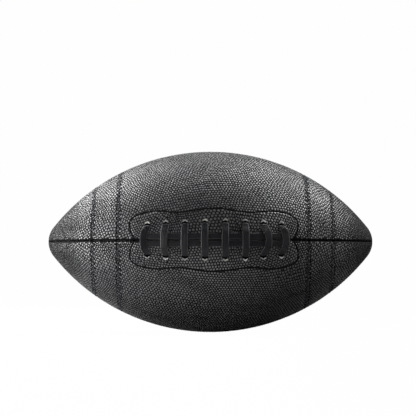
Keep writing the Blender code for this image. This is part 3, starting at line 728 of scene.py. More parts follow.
def sheet_points(relief, loops, pebbled, spin, coarse, hem):
    """The mesh points of a piece's top: on its pebbles and lines, and far apart where it is covered.

    loops are its own outline, inside which they all lie, and its holes' ones.
    """
    outer = loops[0]
    low, high = outer[:, 0].min(), outer[:, 0].max()
    free = pebble_points(relief.middle_turn, spin, low - 0.004, high + 0.004, QUARTER / 2 + 0.3)
    free = free[within(free, outer)]
    free = free[pebbled(free)]
    lines = rails(relief, low, high)
    if not hem:
        around = [beside(hole, offset) for hole in loops[1:] for offset in HOLE_LINES]
        lines = np.concatenate([lines, *around])
    lines = lines[within(lines, outer)]
    free = away_from(free, lines, LINE_ROOM)
    pits = np.zeros((0, 2))
    if relief.side:
        centre, pits = pit_points(relief, low, high)
        free, lines = [away_from(points, centre, 2.0 * NEEDLE_HOLE_RADIUS) for points in (free, lines)]
    free = np.concatenate([free, lines])
    for hole in loops[1:]:
        free = free[~within(free, hole)]
    plain = coarse[within(coarse, outer) & ~pebbled(coarse)]
    every = np.concatenate(loops)
    sheet = np.concatenate([free, inside_loops(plain, loops, COARSE_STEP / 4)])
    pits = pits[within(pits, outer)]
    return np.concatenate([away_from(sheet, every, OUTLINE_ROOM), away_from(pits, every, NEEDLE_ROOM)])


def leather_piece(name, relief, surface, outer, kinds, holes, pebbled, spin, bottom, hem, look):
    """A closed leather piece: pebbled top, rolled or cut edges, holes, and a plain underside.

    outer is its outline on the sheet, anticlockwise. kinds says for each of its points which seam
    it rolls into, -1 or 1, or 0 where the leather is cut. holes are pairs of a hole's outlines, at
    the top and at the underside. pebbled tells where the leather shows. spin turns the pebbles.
    With a hem, the rolled edges turn in and go down past the underside.
    """
    shell = Shell()
    tops = [outer] + [top for top, _ in holes]
    lows = [outer] + [low for _, low in holes]
    coarse = grid(outer.min(axis=0), outer.max(axis=0), COARSE_STEP)
    made, faces, where = triangles(sheet_points(relief, tops, pebbled, spin, coarse, hem), tops)

    height, left, dark, raw = surface(made)
    turn = relief.middle_turn + made[:, 1] / radius_at(made[:, 0])
    high_at = pebble_at(made[:, 0], turn, spin)
    lift = height + PEBBLE_DEPTH * left * (high_at - 0.5)
    # The value carried to the material: low in the pebbles' valleys and where dark is set, where the material
    # shows painted shade, and at the flat share where the pebble is gone
    high_at = (left * high_at + (1 - left) * FLAT_SHINE) * (1 - dark)
    top = shell.add(relief.on_ball(made, lift), high_at, raw)
    shell.add_faces(top[faces])

    rims, below = [], []
    for loop, low_loop, place in zip(tops, lows, where):
        kind = kinds if loop is outer else np.zeros(len(loop))
        rows = edge_rows(relief, loop, low_loop, kind, height[place], lift[place], bottom, hem)
        last = top[place]
        for depth, (points, unshaded) in enumerate(rows):
            # Down each edge the satin look fades into painted shade
            row = shell.add(points, high_at[place] * unshaded, raw[place] * (1 - depth / len(rows)))
            shell.wall(last, row)
            last = row
        station, arc = low_loop.T
        offset = seam_fade(station) * (SEAM_GAP / 2 + (HEM_THICKNESS if hem else SEAM_ROUNDING))
        rolled = np.sign(arc) * edge_arc(station, offset)
        rims.append(last)
        below.append(np.column_stack([station, np.where(kind == 0, arc, rolled)]))

    filling = inside_loops(coarse, below, COARSE_STEP / 4)
    for hole in below[1:]:
        filling = filling[~within(filling, hole)]
    under, under_faces, under_where = triangles(filling, below)
    row = shell.add(relief.on_ball(under, bottom))
    for rim, place in zip(rims, under_where):
        row[place] = rim
    shell.add_faces(row[under_faces][:, ::-1])
    return shell.finish(name, look)


def grid(low, high, step):
    """Sheet points in even rows between two corners."""
    station, arc = np.meshgrid(*(steps(*ends, step) for ends in zip(low, high)))
    return np.column_stack([station.ravel(), arc.ravel()])


def edge_rows(relief, loop, low_loop, kind, height, lift, bottom, hem):
    """The rows of points down a piece's edge, from just under its top, and the share of the satin look left
    in each, the rest being painted shade.
    """
    station = loop[:, 0]
    middle_turn = relief.middle_turn
    angles = [math.radians(a) for a in (18, 36, 54, 72, 90)]
    plan = []
    for angle in angles:
        raised = height + (lift - height) * (1 - (angle / QUARTER) ** 2)
        plan.append((roll(station, kind, middle_turn, angle, raised), angle))
    if hem:
        fade = seam_fade(station)
        wall, inner = fade * SEAM_GAP / 2 - height, fade * (SEAM_GAP / 2 + HEM_THICKNESS)
        for offset, level in ((wall, -HEM_DEPTH), (inner, -HEM_DEPTH), (inner, bottom)):
            plan.append((seam_point(station, kind, middle_turn, offset, level), QUARTER))
    else:
        for angle in (*angles[::-1], 0.0):
            plan.append((roll(station, kind, middle_turn, angle, bottom), QUARTER))
    rows = []
    for number, (rolled, angle) in enumerate(plan, 1):
        share = number / len(plan)
        down = relief.on_ball(loop + (low_loop - loop) * share, lift + (bottom - lift) * share)
        rows.append((np.where((kind == 0)[:, None], down, rolled), fall(angle, SEAM_FADES, SEAM_LIT)))
    return rows


def seam_rows(station):
    """A panel's two edges on its sheet: the lower one to the right, the upper one back."""
    reach = shoulder(station)
    return np.column_stack([station, -reach]), np.column_stack([station, reach])[::-1]


def panel_outline(cuts):
    """A whole panel's outline: along one seam to the far nose, and back along the other."""
    station = np.unique(np.concatenate([steps(-TIP_STATION, TIP_STATION, EDGE_STEP), cuts]))
    return np.concatenate(seam_rows(station)), np.repeat([-1.0, 1.0], len(station))


def band_outline(low, high):
    """A band's outline: cut across the panel at both joints, rolled into both seams."""
    left, right = [across_panel(line)[1:-1] for line in (low, high)]
    lower, upper = seam_rows(steps(low, high, EDGE_STEP))
    parts = lower, right, upper, left[::-1]
    return np.concatenate(parts), np.repeat([-1.0, 0.0, 1.0, 0.0], [len(part) for part in parts])


def facing_loop(relief):
    """A facing's outline: its wavy edge, and the line where it rolls into the slit."""
    edge, side = relief.edge, float(relief.side)
    station = steps(edge[0, 0], edge[-1, 0], EDGE_STEP)[1:-1]
    seam = np.column_stack([station, -side * shoulder(station)])
    walked = distances(edge)
    even = steps(0.0, walked[-1], EDGE_STEP)
    edge = np.column_stack([np.interp(even, walked, edge[:, k]) for k in (0, 1)])
    loop = np.concatenate([seam, edge[::-1]])
    kinds = np.repeat([-side, 0.0], [len(seam), len(edge)])
    kinds[[len(seam), -1]] = -side
    return (loop[::-1], kinds[::-1]) if side < 0 else (loop, kinds)


# Materials

class Wire:
    """A material's value while it is being worked out, so that sums are written as sums."""

    def __init__(self, nodes, socket):
        self.nodes, self.socket = nodes, socket

    def sum(self, operation, *others):
        return self.nodes.node("Math", dict(enumerate((self, *others))), operation=operation)

    def __add__(self, other):
        return self.sum("ADD", other)

    def __sub__(self, other):
        return self.sum("SUBTRACT", other)

    def __mul__(self, other):
        return self.sum("MULTIPLY", other)

    def __rsub__(self, other):
        return (self * -1.0) + other

    __radd__, __rmul__ = __add__, __mul__

    def sine(self):
        return self.sum("SINE")

    def span(self, low, high, start=0.0, end=1.0):
        """From start to end as the value goes from low to high, at rest at both."""
        limits = {"Value": self, "From Min": low, "From Max": high, "To Min": start, "To Max": end}
        return self.nodes.node("MapRange", limits, interpolation_type="SMOOTHSTEP")


class Nodes:
    """The nodes of a material, or of the world."""

    def __init__(self, owner):
        owner.use_nodes = True
        self.owner, self.tree = owner, owner.node_tree

    def node(self, kind, inputs=None, output=0, **settings):
        made = self.tree.nodes.new(f"ShaderNode{kind}")
        for name, value in settings.items():
            setattr(made, name, value)
        for name, value in (inputs or {}).items():
            self.set(made.inputs[name], value)
        return Wire(self, made.outputs[output])

    def set(self, socket, value):
        if isinstance(value, Wire):
            self.tree.links.new(value.socket, socket)
        elif hasattr(value, "__len__") and len(value) == 3 and len(socket.default_value) == 4:
            socket.default_value = (*value, 1.0)
        else:
            socket.default_value = value

    def wear(self, label, **sockets):
        """Put values on a node that was there from the start, by socket name with _ for a space."""
        for name, value in sockets.items():
            self.set(self.tree.nodes[label].inputs[name.replace("_", " ")], value)
        return self.owner


class Look(Nodes):
    """A material made of nodes."""

    def __init__(self, name):
        super().__init__(bpy.data.materials.new(name))

    def skin(self, **sockets):
        """Put values on the surface shader."""
        return self.wear("Principled BSDF", **sockets)

    def shader(self):
        return Wire(self, self.tree.nodes["Principled BSDF"].outputs[0])

    def blend(self, share, first, second):
        """Show a blend of two shaders, with this share of the second."""
        return self.wear("Material Output", Surface=self.node("MixShader", {0: share, 1: first, 2: second}))

    def place(self):
        return self.node("TexCoord", output="Object")

    def axis(self, number):
        return self.node("SeparateXYZ", {0: self.place()}, output=number)

    def carried(self, label):
        """A value that each of the piece's points carries."""
        return self.node("Attribute", output="Fac", attribute_name=label)

    def clouds(self, where, scale, detail, roughness):
        shape = {"Vector": where, "Scale": scale, "Detail": detail, "Roughness": roughness}
        return self.node("TexNoise", shape)

    def noise(self, size, detail=3.0, roughness=0.5):
        """Soft blotches about this size in metres, from 0 to 1."""
        return self.clouds(self.place(), 0.5 / size, detail, roughness)

    def drawn_out(self, around, along, detail, roughness):
        """Blotches on a strip's own two ways, as long and as wide as their rates make them."""
        ways = {0: self.carried("around") * around, 1: self.carried("along") * along}
        return self.clouds(self.node("CombineXYZ", ways), 1.0, detail, roughness)

    def mix(self, share, first, second):
        return self.node("Mix", {0: share, 6: first, 7: second}, output=2, data_type="RGBA")

    def bump(self, height, depth, strength=1.0):
        return self.node("Bump", {"Height": height, "Distance": depth, "Strength": strength})


def leather_look(name, raw):
    """Black embossed leather: satin tops, a cut edge in its own colour, and a matt near-black look that is
    painted shade in the valleys, creases, holes and seam grooves.
    """
    look = Look(name)
    pebble, cut = look.carried("pebble"), look.carried("raw")
    mottle = look.noise(0.018, 4.0, 0.6)
    fine = look.noise(0.00045, 4.0, 0.65)
    nose = look.axis(0).sum("ABSOLUTE").span(0.105, 0.125)
    color = look.mix(mottle.span(0.3, 0.75, 0.0, 0.35), LEATHER_TOP, LEATHER_SHADE_AND_DARK)
    worn = pebble.span(0.82, 1.0) * fine.span(0.45, 0.7) * mottle.span(0.45, 0.7)
    color = look.mix(worn * 0.5, color, tuple(1.8 * c for c in LEATHER_TOP))
    soiled = look.noise(0.006, 2.0, 0.5).span(0.35, 0.65, 0.4, 1.0)
    bared = cut.span(0.3, 0.75)
    color = look.mix(bared * soiled, color, raw)
    cracks = look.node("TexVoronoi", {"Vector": look.place(), "Scale": 620.0}, feature="DISTANCE_TO_EDGE")
    wrinkle = (1 - cracks.span(0.0, 0.3)) * nose
    grain = fine * 0.7 + look.noise(0.00016, 2.0, 0.5) * 0.3 - wrinkle * 1.6
    normal = look.bump(grain, 0.00006, 0.8)
    rough = 0.40 + 0.12 * (fine - 0.5) + 0.10 * (mottle - 0.5) + 0.25 * bared
    look.skin(Base_Color=color, Roughness=rough, Normal=normal, Specular_IOR_Level=1.0)
    # A matt copy of the leather whose near-black colour is painted shade, shown in the valleys, creases,
    # needle holes and seam grooves
    shaded_matt = look.node("BsdfPrincipled", {"Base Color": LEATHER_SHADE_AND_DARK, "Roughness": 0.75 + 0.1 * (fine - 0.5),
                                        "Normal": normal, "Specular IOR Level": 0.12})
    # The mix share: the carried pebble value, less a little in the noses' wrinkle cracks, which is painted
    # shade there too
    satin = (pebble - wrinkle * 0.25).span(0.31, 0.77) + cut.span(0.3, 0.6)
    return look.blend(satin.sum("MINIMUM", 1.0), shaded_matt, look.shader())


def lace_look():
    """A smooth strip with fine lengthwise lines and faint rungs across them."""
    look = Look("lace_leather")
    streak = look.drawn_out(60.0, 90.0, 3.0, 0.6)
    rung = look.drawn_out(6.0, 2600.0, 1.0, 0.5)
    grain = look.noise(0.0006, 3.0, 0.6)
    blotch = look.noise(0.009, 3.0, 0.5)
    tone = look.mix(streak.span(0.35, 0.65) * rung.span(0.25, 0.6, 0.45, 1.0), LACE_DARK, LACE_COLOR)
    tone = look.mix(blotch.span(0.4, 0.75, 0.0, 0.4), tone, LACE_DARK)
    tone = look.mix(look.carried("raw").span(0.3, 0.9), tone, LACE_RAW)
    rough = 0.44 + 0.22 * (streak - 0.5) + 0.10 * (grain - 0.5)
    normal = look.bump(streak * 0.7 + grain * 0.2 + rung * 0.3, 0.00014, 0.9)
    return look.skin(Base_Color=tone, Roughness=rough, Normal=normal, Specular_IOR_Level=0.22)


def thread_look(name, color, dark, turns):
    """Two-ply twisted thread."""
    look = Look(name)
    twist = (look.carried("around") * (2 * math.pi) * 2.0 + look.carried("along") * turns).sine()
    fibre = look.noise(0.0002, 2.0, 0.6)
    tone = look.mix(twist.span(-0.9, 0.3), dark, color)
    height = twist * 0.5 + fibre * 0.4
    return look.skin(Base_Color=tone, Roughness=0.62 + 0.2 * (fibre - 0.5), Normal=look.bump(height, 0.00012))


def cord_look(name, color, dark):
    """A seam's cord: a twist seen on the object's own coordinates."""
    look = Look(name)
    twist = (look.axis(0) * 5200.0 + look.noise(0.003) * 4.0).sine()
    tone = look.mix(twist.span(-0.8, 0.5), dark, color)
    return look.skin(Base_Color=tone, Roughness=0.7 + 0.1 * twist, Normal=look.bump(twist, 0.0001, 0.8))


def cloth_look(name, color, dark, pitch):
    """A plain weave, its threads crossing on the object's own coordinates."""
    look = Look(name)
    wobble = look.noise(0.004) * 1.6
    warp, weft = [(look.axis(number) * (2 * math.pi / pitch) + wobble).sine() for number in (0, 2)]
    weave = warp * weft
    soil = look.noise(0.02, 4.0, 0.6)
    tone = look.mix(weave.span(-0.7, 0.6), dark, color)
    tone = look.mix(soil.span(0.45, 0.8, 0.0, 0.3), tone, dark)
    return look.skin(Base_Color=tone, Roughness=0.84 + 0.08 * weave, Normal=look.bump(weave, 0.00015, 0.8))


def rubber_look(name, color, pale):
    """Matt moulded rubber with a faint bloom."""
    look = Look(name)
    bloom = look.noise(0.006, 5.0, 0.6)
    skin = look.noise(0.0003, 3.0, 0.5)
    tone = look.mix(bloom.span(0.4, 0.8, 0.0, 0.5), color, pale)
    rough = 0.56 + 0.16 * bloom + 0.06 * (skin - 0.5)
    return look.skin(Base_Color=tone, Roughness=rough, Normal=look.bump(skin, 0.00004, 0.7))


LEATHER_TOP = (0.100, 0.101, 0.106)
# The near-black is painted shade in the valleys and creases, and a darker tone at random in the mottle
LEATHER_SHADE_AND_DARK = (0.004, 0.004, 0.0045)
LACE_COLOR = (0.020, 0.021, 0.024)
LACE_DARK = (0.006, 0.006, 0.008)
LACE_RAW = (0.12, 0.12, 0.118)
COVER = leather_look("cover_leather", (0.10, 0.10, 0.09))
BAND = leather_look("band_leather", (0.10, 0.10, 0.10))
FACING = leather_look("facing_leather", (0.62, 0.61, 0.57))
LACE = lace_look()
STITCH = thread_look("stitch_thread", (0.020, 0.023, 0.034), (0.006, 0.007, 0.011), 7000.0)
SEAM_CORD = cord_look("seam_cord", (0.11, 0.11, 0.105), (0.03, 0.03, 0.03))
LINING = cloth_look("lining_cloth", (0.34, 0.33, 0.29), (0.17, 0.165, 0.14), 0.0011)
TONGUE = cloth_look("tongue_cloth", (0.055, 0.055, 0.055), (0.018, 0.018, 0.018), 0.0009)
BLADDER = rubber_look("bladder_rubber", (0.032, 0.030, 0.029), (0.085, 0.082, 0.078))
VALVE = rubber_look("valve_rubber", (0.030, 0.029, 0.028), (0.060, 0.058, 0.056))
PLUG = rubber_look("plug_rubber", (0.045, 0.045, 0.045), (0.085, 0.085, 0.083))


# The cover, the bands and the facings

def add_leather():
    for name, middle, _, side in PANELS:
        middle_turn = math.radians(middle)
        relief = Relief(middle_turn, side)
        holes, cuts = [], ()
        if side:
            levels = [lace_holes(side, middle_turn, level) for level in range(3)]
            holes = list(zip(*levels[1:]))
            cuts = (*JOINTS, relief.edge[0, 0], relief.edge[-1, 0])
        if name == "back_upper":
            angle = -ring_angles(60)
            ring = VALVE_HOLE_RADIUS * np.column_stack([np.cos(angle), np.sin(angle)])
            holes = [(ring, ring)]
        outer, kinds = panel_outline(cuts)
        piece = leather_piece(f"cover_{name}", relief, relief.cover, outer, kinds, holes,
                              relief.bare, 0.0, -COVER_THICKNESS, True, COVER)
        settle(piece, "ball", f"panel_{name}")
        if not side:
            continue
        height = "upper" if side > 0 else "lower"
        for place, (low, high) in zip(("left", "right"), BAND_ZONES):
            outer, kinds = band_outline(low + BAND_CLEARANCE, high - BAND_CLEARANCE)
            band = leather_piece(f"band_{place}_{height}", relief, relief.stitched, outer, kinds, [],
                                 everywhere, math.pi, -BAND_THICKNESS, False, BAND)
            settle(band, "ball", f"stripe_{place}_{height}")
        outer, kinds = facing_loop(relief)
        holes = list(zip(*levels[:2]))
        facing = leather_piece(f"facing_{height}", relief, relief.facing, outer, kinds, holes,
                               everywhere, QUARTER, FACING_PROUD - FACING_THICKNESS, False, FACING)
        settle(facing, "ball", f"lace_facing_{height}")


def settle(piece, body, node):
    """Put a piece on the body that it rides, and hide the CAD node that it stands for."""
    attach(piece, body)
    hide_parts(node)


# Strips and threads along a route

def rounded(route, step):
    """A smooth line through a route's places, about a step apart, and each point's distance."""
    route = np.array(route, float)
    keep = [0]
    for i in range(1, len(route)):
        if np.linalg.norm(route[i] - route[keep[-1]]) > SHORTEST_STEP:
            keep.append(i)
    route = route[keep]
    gaps = np.linalg.norm(np.diff(route, axis=0), axis=1)
    slopes = np.diff(route, axis=0) / gaps[:, None]
    tangents = np.empty_like(route)
    tangents[0], tangents[-1] = slopes[0], slopes[-1]
    weight = (gaps[1:] / (gaps[1:] + gaps[:-1]))[:, None]
    tangents[1:-1] = weight * slopes[:-1] + (1 - weight) * slopes[1:]
    made = []
    for i, gap in enumerate(gaps):
        share = np.linspace(0.0, 1.0, max(1, round(gap / step)), endpoint=False)[:, None]
        square, cube = share ** 2, share ** 3
        made.append((2 * cube - 3 * square + 1) * route[i] + (3 * square - 2 * cube) * route[i + 1]
                    + (cube - 2 * square + share) * gap * tangents[i]
                    + (cube - square) * gap * tangents[i + 1])
    line = np.concatenate(made + [route[-1:]])
    return line, distances(line)


def swept_piece(name, rings, walked, look, raw=None):
    """A closed skin over rings of points, each carrying its share round and its distance along."""
    count, around = rings.shape[:2]
    mesh = bpy.data.meshes.new(name)
    faces = []
    for i in range(count - 1):
        for j in range(around):
            k = (j + 1) % around
            faces.append((i * around + j, i * around + k, (i + 1) * around + k, (i + 1) * around + j))
    faces.append(tuple(range(around))[::-1])
    faces.append(tuple((count - 1) * around + j for j in range(around)))
    mesh.from_pydata(rings.reshape(-1, 3).tolist(), [], faces)
    shape = bmesh.new()
    shape.from_mesh(mesh)
    bmesh.ops.recalc_face_normals(shape, faces=shape.faces)
    shape.to_mesh(mesh)
    shape.free()
    carry(mesh, "around", np.tile(np.arange(around) / around, count))
    carry(mesh, "along", np.repeat(walked, around))
    if raw is not None:
        carry(mesh, "raw", np.tile(raw, count))
    return place_piece(name, mesh, look, 70)


def upright_bend(reach, height, toward):
    """A strip turning from flat to upright at a reach: (across, height) pairs, flat end first."""
    return [(reach - LACE_BEND * (1 - math.cos(a)), height + toward * LACE_BEND * (1 - math.sin(a)))
            for a in np.linspace(QUARTER, 0.0, 6)]


def gentle(share):
    """A share from 0 to 1 that starts and ends at rest, without a jump in its bend."""
    return share ** 3 * (share * (6 * share - 15) + 10)


def cross_route(station, reach, bow):
    """A cross over the long runs, from its upper hole to its lower one."""
    flat = reach - LACE_BEND
    edge = LONG_RUN_REACH + LACE_WIDTH / 2
    half = upright_bend(reach, LACE_LOW, -1)[::-1]
    for across in np.linspace(flat, 0.0, 14)[1:]:
        rise = fall(across, flat - edge, edge)
        half.append((across, LACE_LOW + rise * (LACE_HIGH - LACE_LOW)))
    route = []
    for across, height in half + [(-across, height) for across, height in half[-2::-1]]:
        bowed = 1 - min(1.0, abs(across) / flat) ** 2
        route.append((FEATURE_SHIFT + station + bow * bowed, across, height))
    return route


def slant(start, end, count):
    """Places under the cover between two others, leaving and arriving along the lace's way."""
    along, across = end[0] - start[0], end[1] - start[1]
    return [(start[0] + along * gentle(share), start[1] + across * share, LACE_INSIDE)
            for share in np.linspace(0.0, 1.0, count)[1:-1]]


def inside_route(first, last):
    """From one cross's lower hole, under the cover, to another's upper one."""
    start, end = FEATURE_SHIFT + first[0], FEATURE_SHIFT + last[0]
    route = [(start, -across, height) for across, height in upright_bend(first[1], LACE_INSIDE, 1)[::-1]]
    route += slant((start, LACE_BEND - first[1]), (end, last[1] - LACE_BEND), 9)
    return route + [(end, across, height) for across, height in upright_bend(last[1], LACE_INSIDE, 1)]


def turn_in_route(slot, hole, reach):
    """From a long run's slot, round under the cover, to a cross's hole."""
    begin = slot - LACE_BEND - SLOT_ROOM
    route = []
    for angle in np.linspace(0.0, QUARTER, 6):
        route.append((begin - TURN_RADIUS * math.sin(angle),
                      LONG_RUN_REACH + TURN_RADIUS * (1 - math.cos(angle)), LACE_INSIDE))
    route += slant(route[-1], (hole, reach - LACE_BEND), 5)
    return route + [(hole, across, height) for across, height in upright_bend(reach, LACE_INSIDE, 1)]


def slot_route(station, heading):
    """A long run's two bends at its slot: outside, from the slot to the run, and inside, back to it."""
    return [[(station + heading * inward, LONG_RUN_REACH, height) for inward, height in bend]
            for bend in (upright_bend(0.0, LACE_LOW, -1)[::-1], upright_bend(0.0, LACE_INSIDE, 1))]


def lace_route():
    """The whole lace as (station, across, height), from its left inner tail to its right one."""
    left, right = [FEATURE_SHIFT + station + bow for station, _, bow in (CROSSES[0], CROSSES[-1])]
    outer_left, inner_left = slot_route(left, -1)
    outer_right, inner_right = slot_route(right, 1)
    run = [(along, LONG_RUN_REACH, LACE_LOW)
           for along in np.linspace(left + LACE_BEND, right - LACE_BEND, 40)[1:-1]]
    upper_run = outer_left + run + outer_right[::-1]
    route = [(left - LACE_BEND - TAIL_LENGTH, LONG_RUN_REACH, LACE_INSIDE)]
    route += [(2 * left - along, across, height) for along, across, height in inner_left]
    route += upper_run + inner_right[::-1]
    route += turn_in_route(right, FEATURE_SHIFT + CROSSES[-1][0], CROSSES[-1][1])
    for k in reversed(range(len(CROSSES))):
        route += cross_route(*CROSSES[k])
        if k:
            route += inside_route(CROSSES[k], CROSSES[k - 1])
    middle = 2 * FEATURE_SHIFT
    mirrored = turn_in_route(middle - left, FEATURE_SHIFT - CROSSES[0][0], CROSSES[0][1])
    route += [(middle - along, -across, height) for along, across, height in reversed(mirrored)]
    tail = [(2 * right - along, across, height) for along, across, height in inner_right[::-1]]
    tail.append((right + LACE_BEND + TAIL_LENGTH, LONG_RUN_REACH, LACE_INSIDE))
    return route + [(along, -across, height) for along, across, height in inner_left + upper_run + tail]


def lace_section():
    """Half the lace's outline, over its top from edge to edge: a low crown with grooves along it."""
    half = LACE_WIDTH / 2
    points = []
    for across in np.linspace(-1.0, 1.0, 25):
        groove = LACE_GROOVE * math.cos(math.pi * across * LACE_RIBS / 2) ** 2
        points.append((across * (half - 0.00042), LACE_THICKNESS / 2 - LACE_CROWN * across ** 2 - groove))
    return points + [(half - 0.00014, 0.00030), (half, 0.0)]


def add_lace():
    """The lace: narrower and curled at its holes, and leaning at its two end crosses."""
    line, walked = rounded(lace_route(), LACE_STEP)
    tangents = directions(line)
    top = lace_section()
    section = top + [(-u, -v) for u, v in top]
    raw = np.array([float(abs(u) > LACE_WIDTH / 2 - 0.0003) for u, _ in section])
    chance = np.random.default_rng(3)
    waves = [(chance.uniform(0, 6.28), chance.uniform(180, 420)) for _ in range(3)]
    stations, reaches, _ = np.array(CROSSES).T
    cross = np.abs(line[:, :1] - FEATURE_SHIFT - stations).argmin(axis=1)
    out = np.abs(line[:, 1])
    short = out - reaches[cross]
    sideways, upright = np.abs(tangents[:, 1]) > 0.5, np.abs(tangents[:, 2]) > 0.5
    narrow = 1 - NARROW_SHARE * ease(short / NARROW_REACH + 1)
    narrow[(np.abs(out - LONG_RUN_REACH) < 0.0003) & ~sideways] = 1 - RUN_SHARE
    curl = CURL * ease(short / CURL_REACH + 1) / (LACE_WIDTH / 2) ** 2
    lean = np.where(cross == 0, -END_LEAN, np.where(cross == len(CROSSES) - 1, END_LEAN, 0.0))
    lean = lean * ((line[:, 2] > 0) & (sideways | upright)) * fall(out, LEAN_FADE, LEAN_REACH)
    line[:, 2] += np.abs(np.sin(lean)) * END_RAISE
    side = np.array([0.0, 1.0, 0.0])
    rings = []
    for place, tangent, far, share, bent, tip in zip(line, tangents, walked, narrow, curl, lean):
        flat_side = np.cross((0.0, 0.0, 1.0), tangent)
        if np.linalg.norm(flat_side) > 0.3:
            side = flat_side if flat_side @ side >= 0 else -flat_side
        side = side - tangent * (side @ tangent)
        side /= np.linalg.norm(side)
        normal = np.cross(tangent, side)
        leaned = side * math.cos(tip) + normal * math.sin(tip)
        raised = normal * math.cos(tip) - side * math.sin(tip)
        wide = share * (1 + WAVER * sum(math.sin(phase + far * rate) for phase, rate in waves))
        rings.append([place + leaned * (u * wide) + raised * (v - bent * u * u) for u, v in section])
    rings = np.array(rings)
    station, across, height = rings.reshape(-1, 3).T
    points = ball_points(station, across / radius_at(station), height).reshape(rings.shape)
    settle(swept_piece("lace_strip", points, walked, LACE, raw), "ball", "lace")


def tube(name, points, radius, sides, step, look):
    """A round thread along a line of points."""
    line, walked = rounded(points, step)
    angles = ring_angles(sides)[:, None]
    side = np.array([0.0, 0.3, 1.0])
    rings = []
    for place, tangent in zip(line, directions(line)):
        side = side - tangent * (side @ tangent)
        side /= np.linalg.norm(side)
        rings.append(place + radius * (np.cos(angles) * side + np.sin(angles) * np.cross(tangent, side)))
    return swept_piece(name, np.array(rings), walked, look)


def add_stitching():
    """One zigzag thread along each joint, down into every needle hole and out again."""
    edges = ("left", "outer"), ("left", "inner"), ("right", "inner"), ("right", "outer")
    for side, height in ((1, "upper"), (-1, "lower")):
        for line, (place, edge) in zip(JOINTS, edges):
            holes = np.column_stack(stitch_corners(side * QUARTER / 2, line))
            route = [(*holes[0], THREAD_IN_HOLE)]
            for before, after in zip(holes, holes[1:]):
                route += [(*(before + share * (after - before)), level) for share, level in THREAD_HEIGHTS]
                route.append((*after, THREAD_IN_HOLE))
            points = ball_points(*np.array(route).T)
            name = f"{place}_{height}_{edge}"
            piece = tube(f"zigzag_{name}", points, THREAD_RADIUS, THREAD_SIDES, THREAD_STEP, STITCH)
            settle(piece, "ball", f"stripe_thread_{name}")


# The valve: outlines turned about its axis. They give (radius, height over the ball's surface).

NECK_OUTLINE = (
    (0.0055, -0.0003), (0.0055, -0.00620), (0.0090, -0.00620), (0.0090, -0.00750), (0.0055, -0.00750),
    (0.0055, -0.0100), (0.0033, -0.0100), (0.0033, -0.0019), (0.0045, -0.0019), (0.0045, -0.0003))
# The plug's heights are from its own top
PLUG_OUTLINE = (
    (0.0042, 0.0), (0.0042, -0.00145), (0.0030, -0.00145), (0.0030, -0.0088), (0.0008, -0.0088),
    (0.0008, -0.0009), (0.0011, -0.0004), (0.0018, 0.0))
PLUG_TOP = -0.00015


def turned_piece(name, profile, look, top):
    """A piece spun about the valve's axis from the outline of its one side."""
    bpy.ops.object.select_all(action="DESELECT")
    bpy.ops.mesh.primitive_plane_add(size=0.001)
    piece = bpy.context.object
    piece.name = piece.data.name = name
    shape = bmesh.new()
    corners = [shape.verts.new((radius, 0.0, height)) for radius, height in profile]
    for i, corner in enumerate(corners):
        shape.edges.new((corner, corners[(i + 1) % len(corners)]))
    shape.to_mesh(piece.data)
    shape.free()
    bpy.ops.object.mode_set(mode="EDIT")
    bpy.ops.mesh.select_all(action="SELECT")
    bpy.ops.mesh.spin(steps=64, angle=2 * math.pi, center=(0, 0, 0), axis=(0, 0, 1))
    bpy.ops.mesh.select_all(action="SELECT")
    bpy.ops.mesh.remove_doubles(threshold=0.00001)
    bpy.ops.mesh.normals_make_consistent(inside=False)
    bpy.ops.object.mode_set(mode="OBJECT")
    bevelled(piece, VALVE_ROUNDING, 2)
    outward = Vector(ball_points(0.0, VALVE_TURN, 0.0)).normalized()
    turn = outward.to_track_quat("Z", "Y").to_matrix().to_4x4()
    piece.data.transform(Matrix.Translation(outward * (DIAMETER / 2 + top)) @ turn)
    piece.data.materials.append(look)
    bpy.ops.object.shade_smooth_by_angle(angle=math.radians(40))
    return piece


def bevelled(piece, width, segments):
    bevel = piece.modifiers.new("Rounding", "BEVEL")
    bevel.width, bevel.segments = width, segments
    bpy.ops.object.modifier_apply(modifier=bevel.name)


def add_valve():
    settle(turned_piece("valve_collar", NECK_OUTLINE, VALVE, 0.0), "ball", "valve_neck")
    settle(turned_piece("valve_stopper", PLUG_OUTLINE, PLUG, PLUG_TOP), "plug", "valve_plug")


def dress_nodes():
    """The hidden inner pieces keep their solids and get their own finishes."""
    finishes = {"lining": LINING, "seam_thread": SEAM_CORD, "lace_tongue": TONGUE, "bladder": BLADDER}
    for name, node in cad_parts.items():
        for start, look in finishes.items():
            if name.startswith(start):
                node.data.materials.clear()
                node.data.materials.append(look)


# The stage, the lamps and the camera

# How much of the stage's white the leather shows: all of it low at the front left, little elsewhere, a
# painted pool of light that the leather reflects
STAGE_IN_GLOSS = 0.04
STAGE_LIT_ACROSS = (-0.01, 0.08)
STAGE_LIT_ALONG = (-0.11, -0.05)
# How much of the lamps' light and the ball's shadow the camera sees on the stage
STAGE_SHADOW = 0.01
STAGE_SIZE = 8.0
STAGE_HEIGHT = 5.0
STAGE_SWEEP = 1.5
# Each lamp: its bearing round the ball from the front and its height angle, in degrees, and its power
LAMPS = (
    ("left_softbox", -92, 1, 25.0),
    ("left_front_softbox", -60, 1, 7.0),
    ("left_back_softbox", -118, 40, 21.0),
    ("left_high_softbox", -118, 62, 8.0),
    ("right_high_softbox", 112, 62, 13.5),
    ("right_softbox", 95, 42, 11.5),
    ("right_front_softbox", 66, 14, 3.5),
    ("back_softbox", 180, 62, 2.5),
)
LAMP_SIZE = 0.45
LAMP_DISTANCE = 1.3
WORLD_STRENGTH = 0.01
# The camera's bearing and height angle, in degrees
CAMERA_PLACE = (-0.44, -1.25)
CAMERA_DISTANCE = 1.4
CAMERA_LENS = 140.0
CAMERA_AIM = (-0.0022, 0.0, 0.0293)


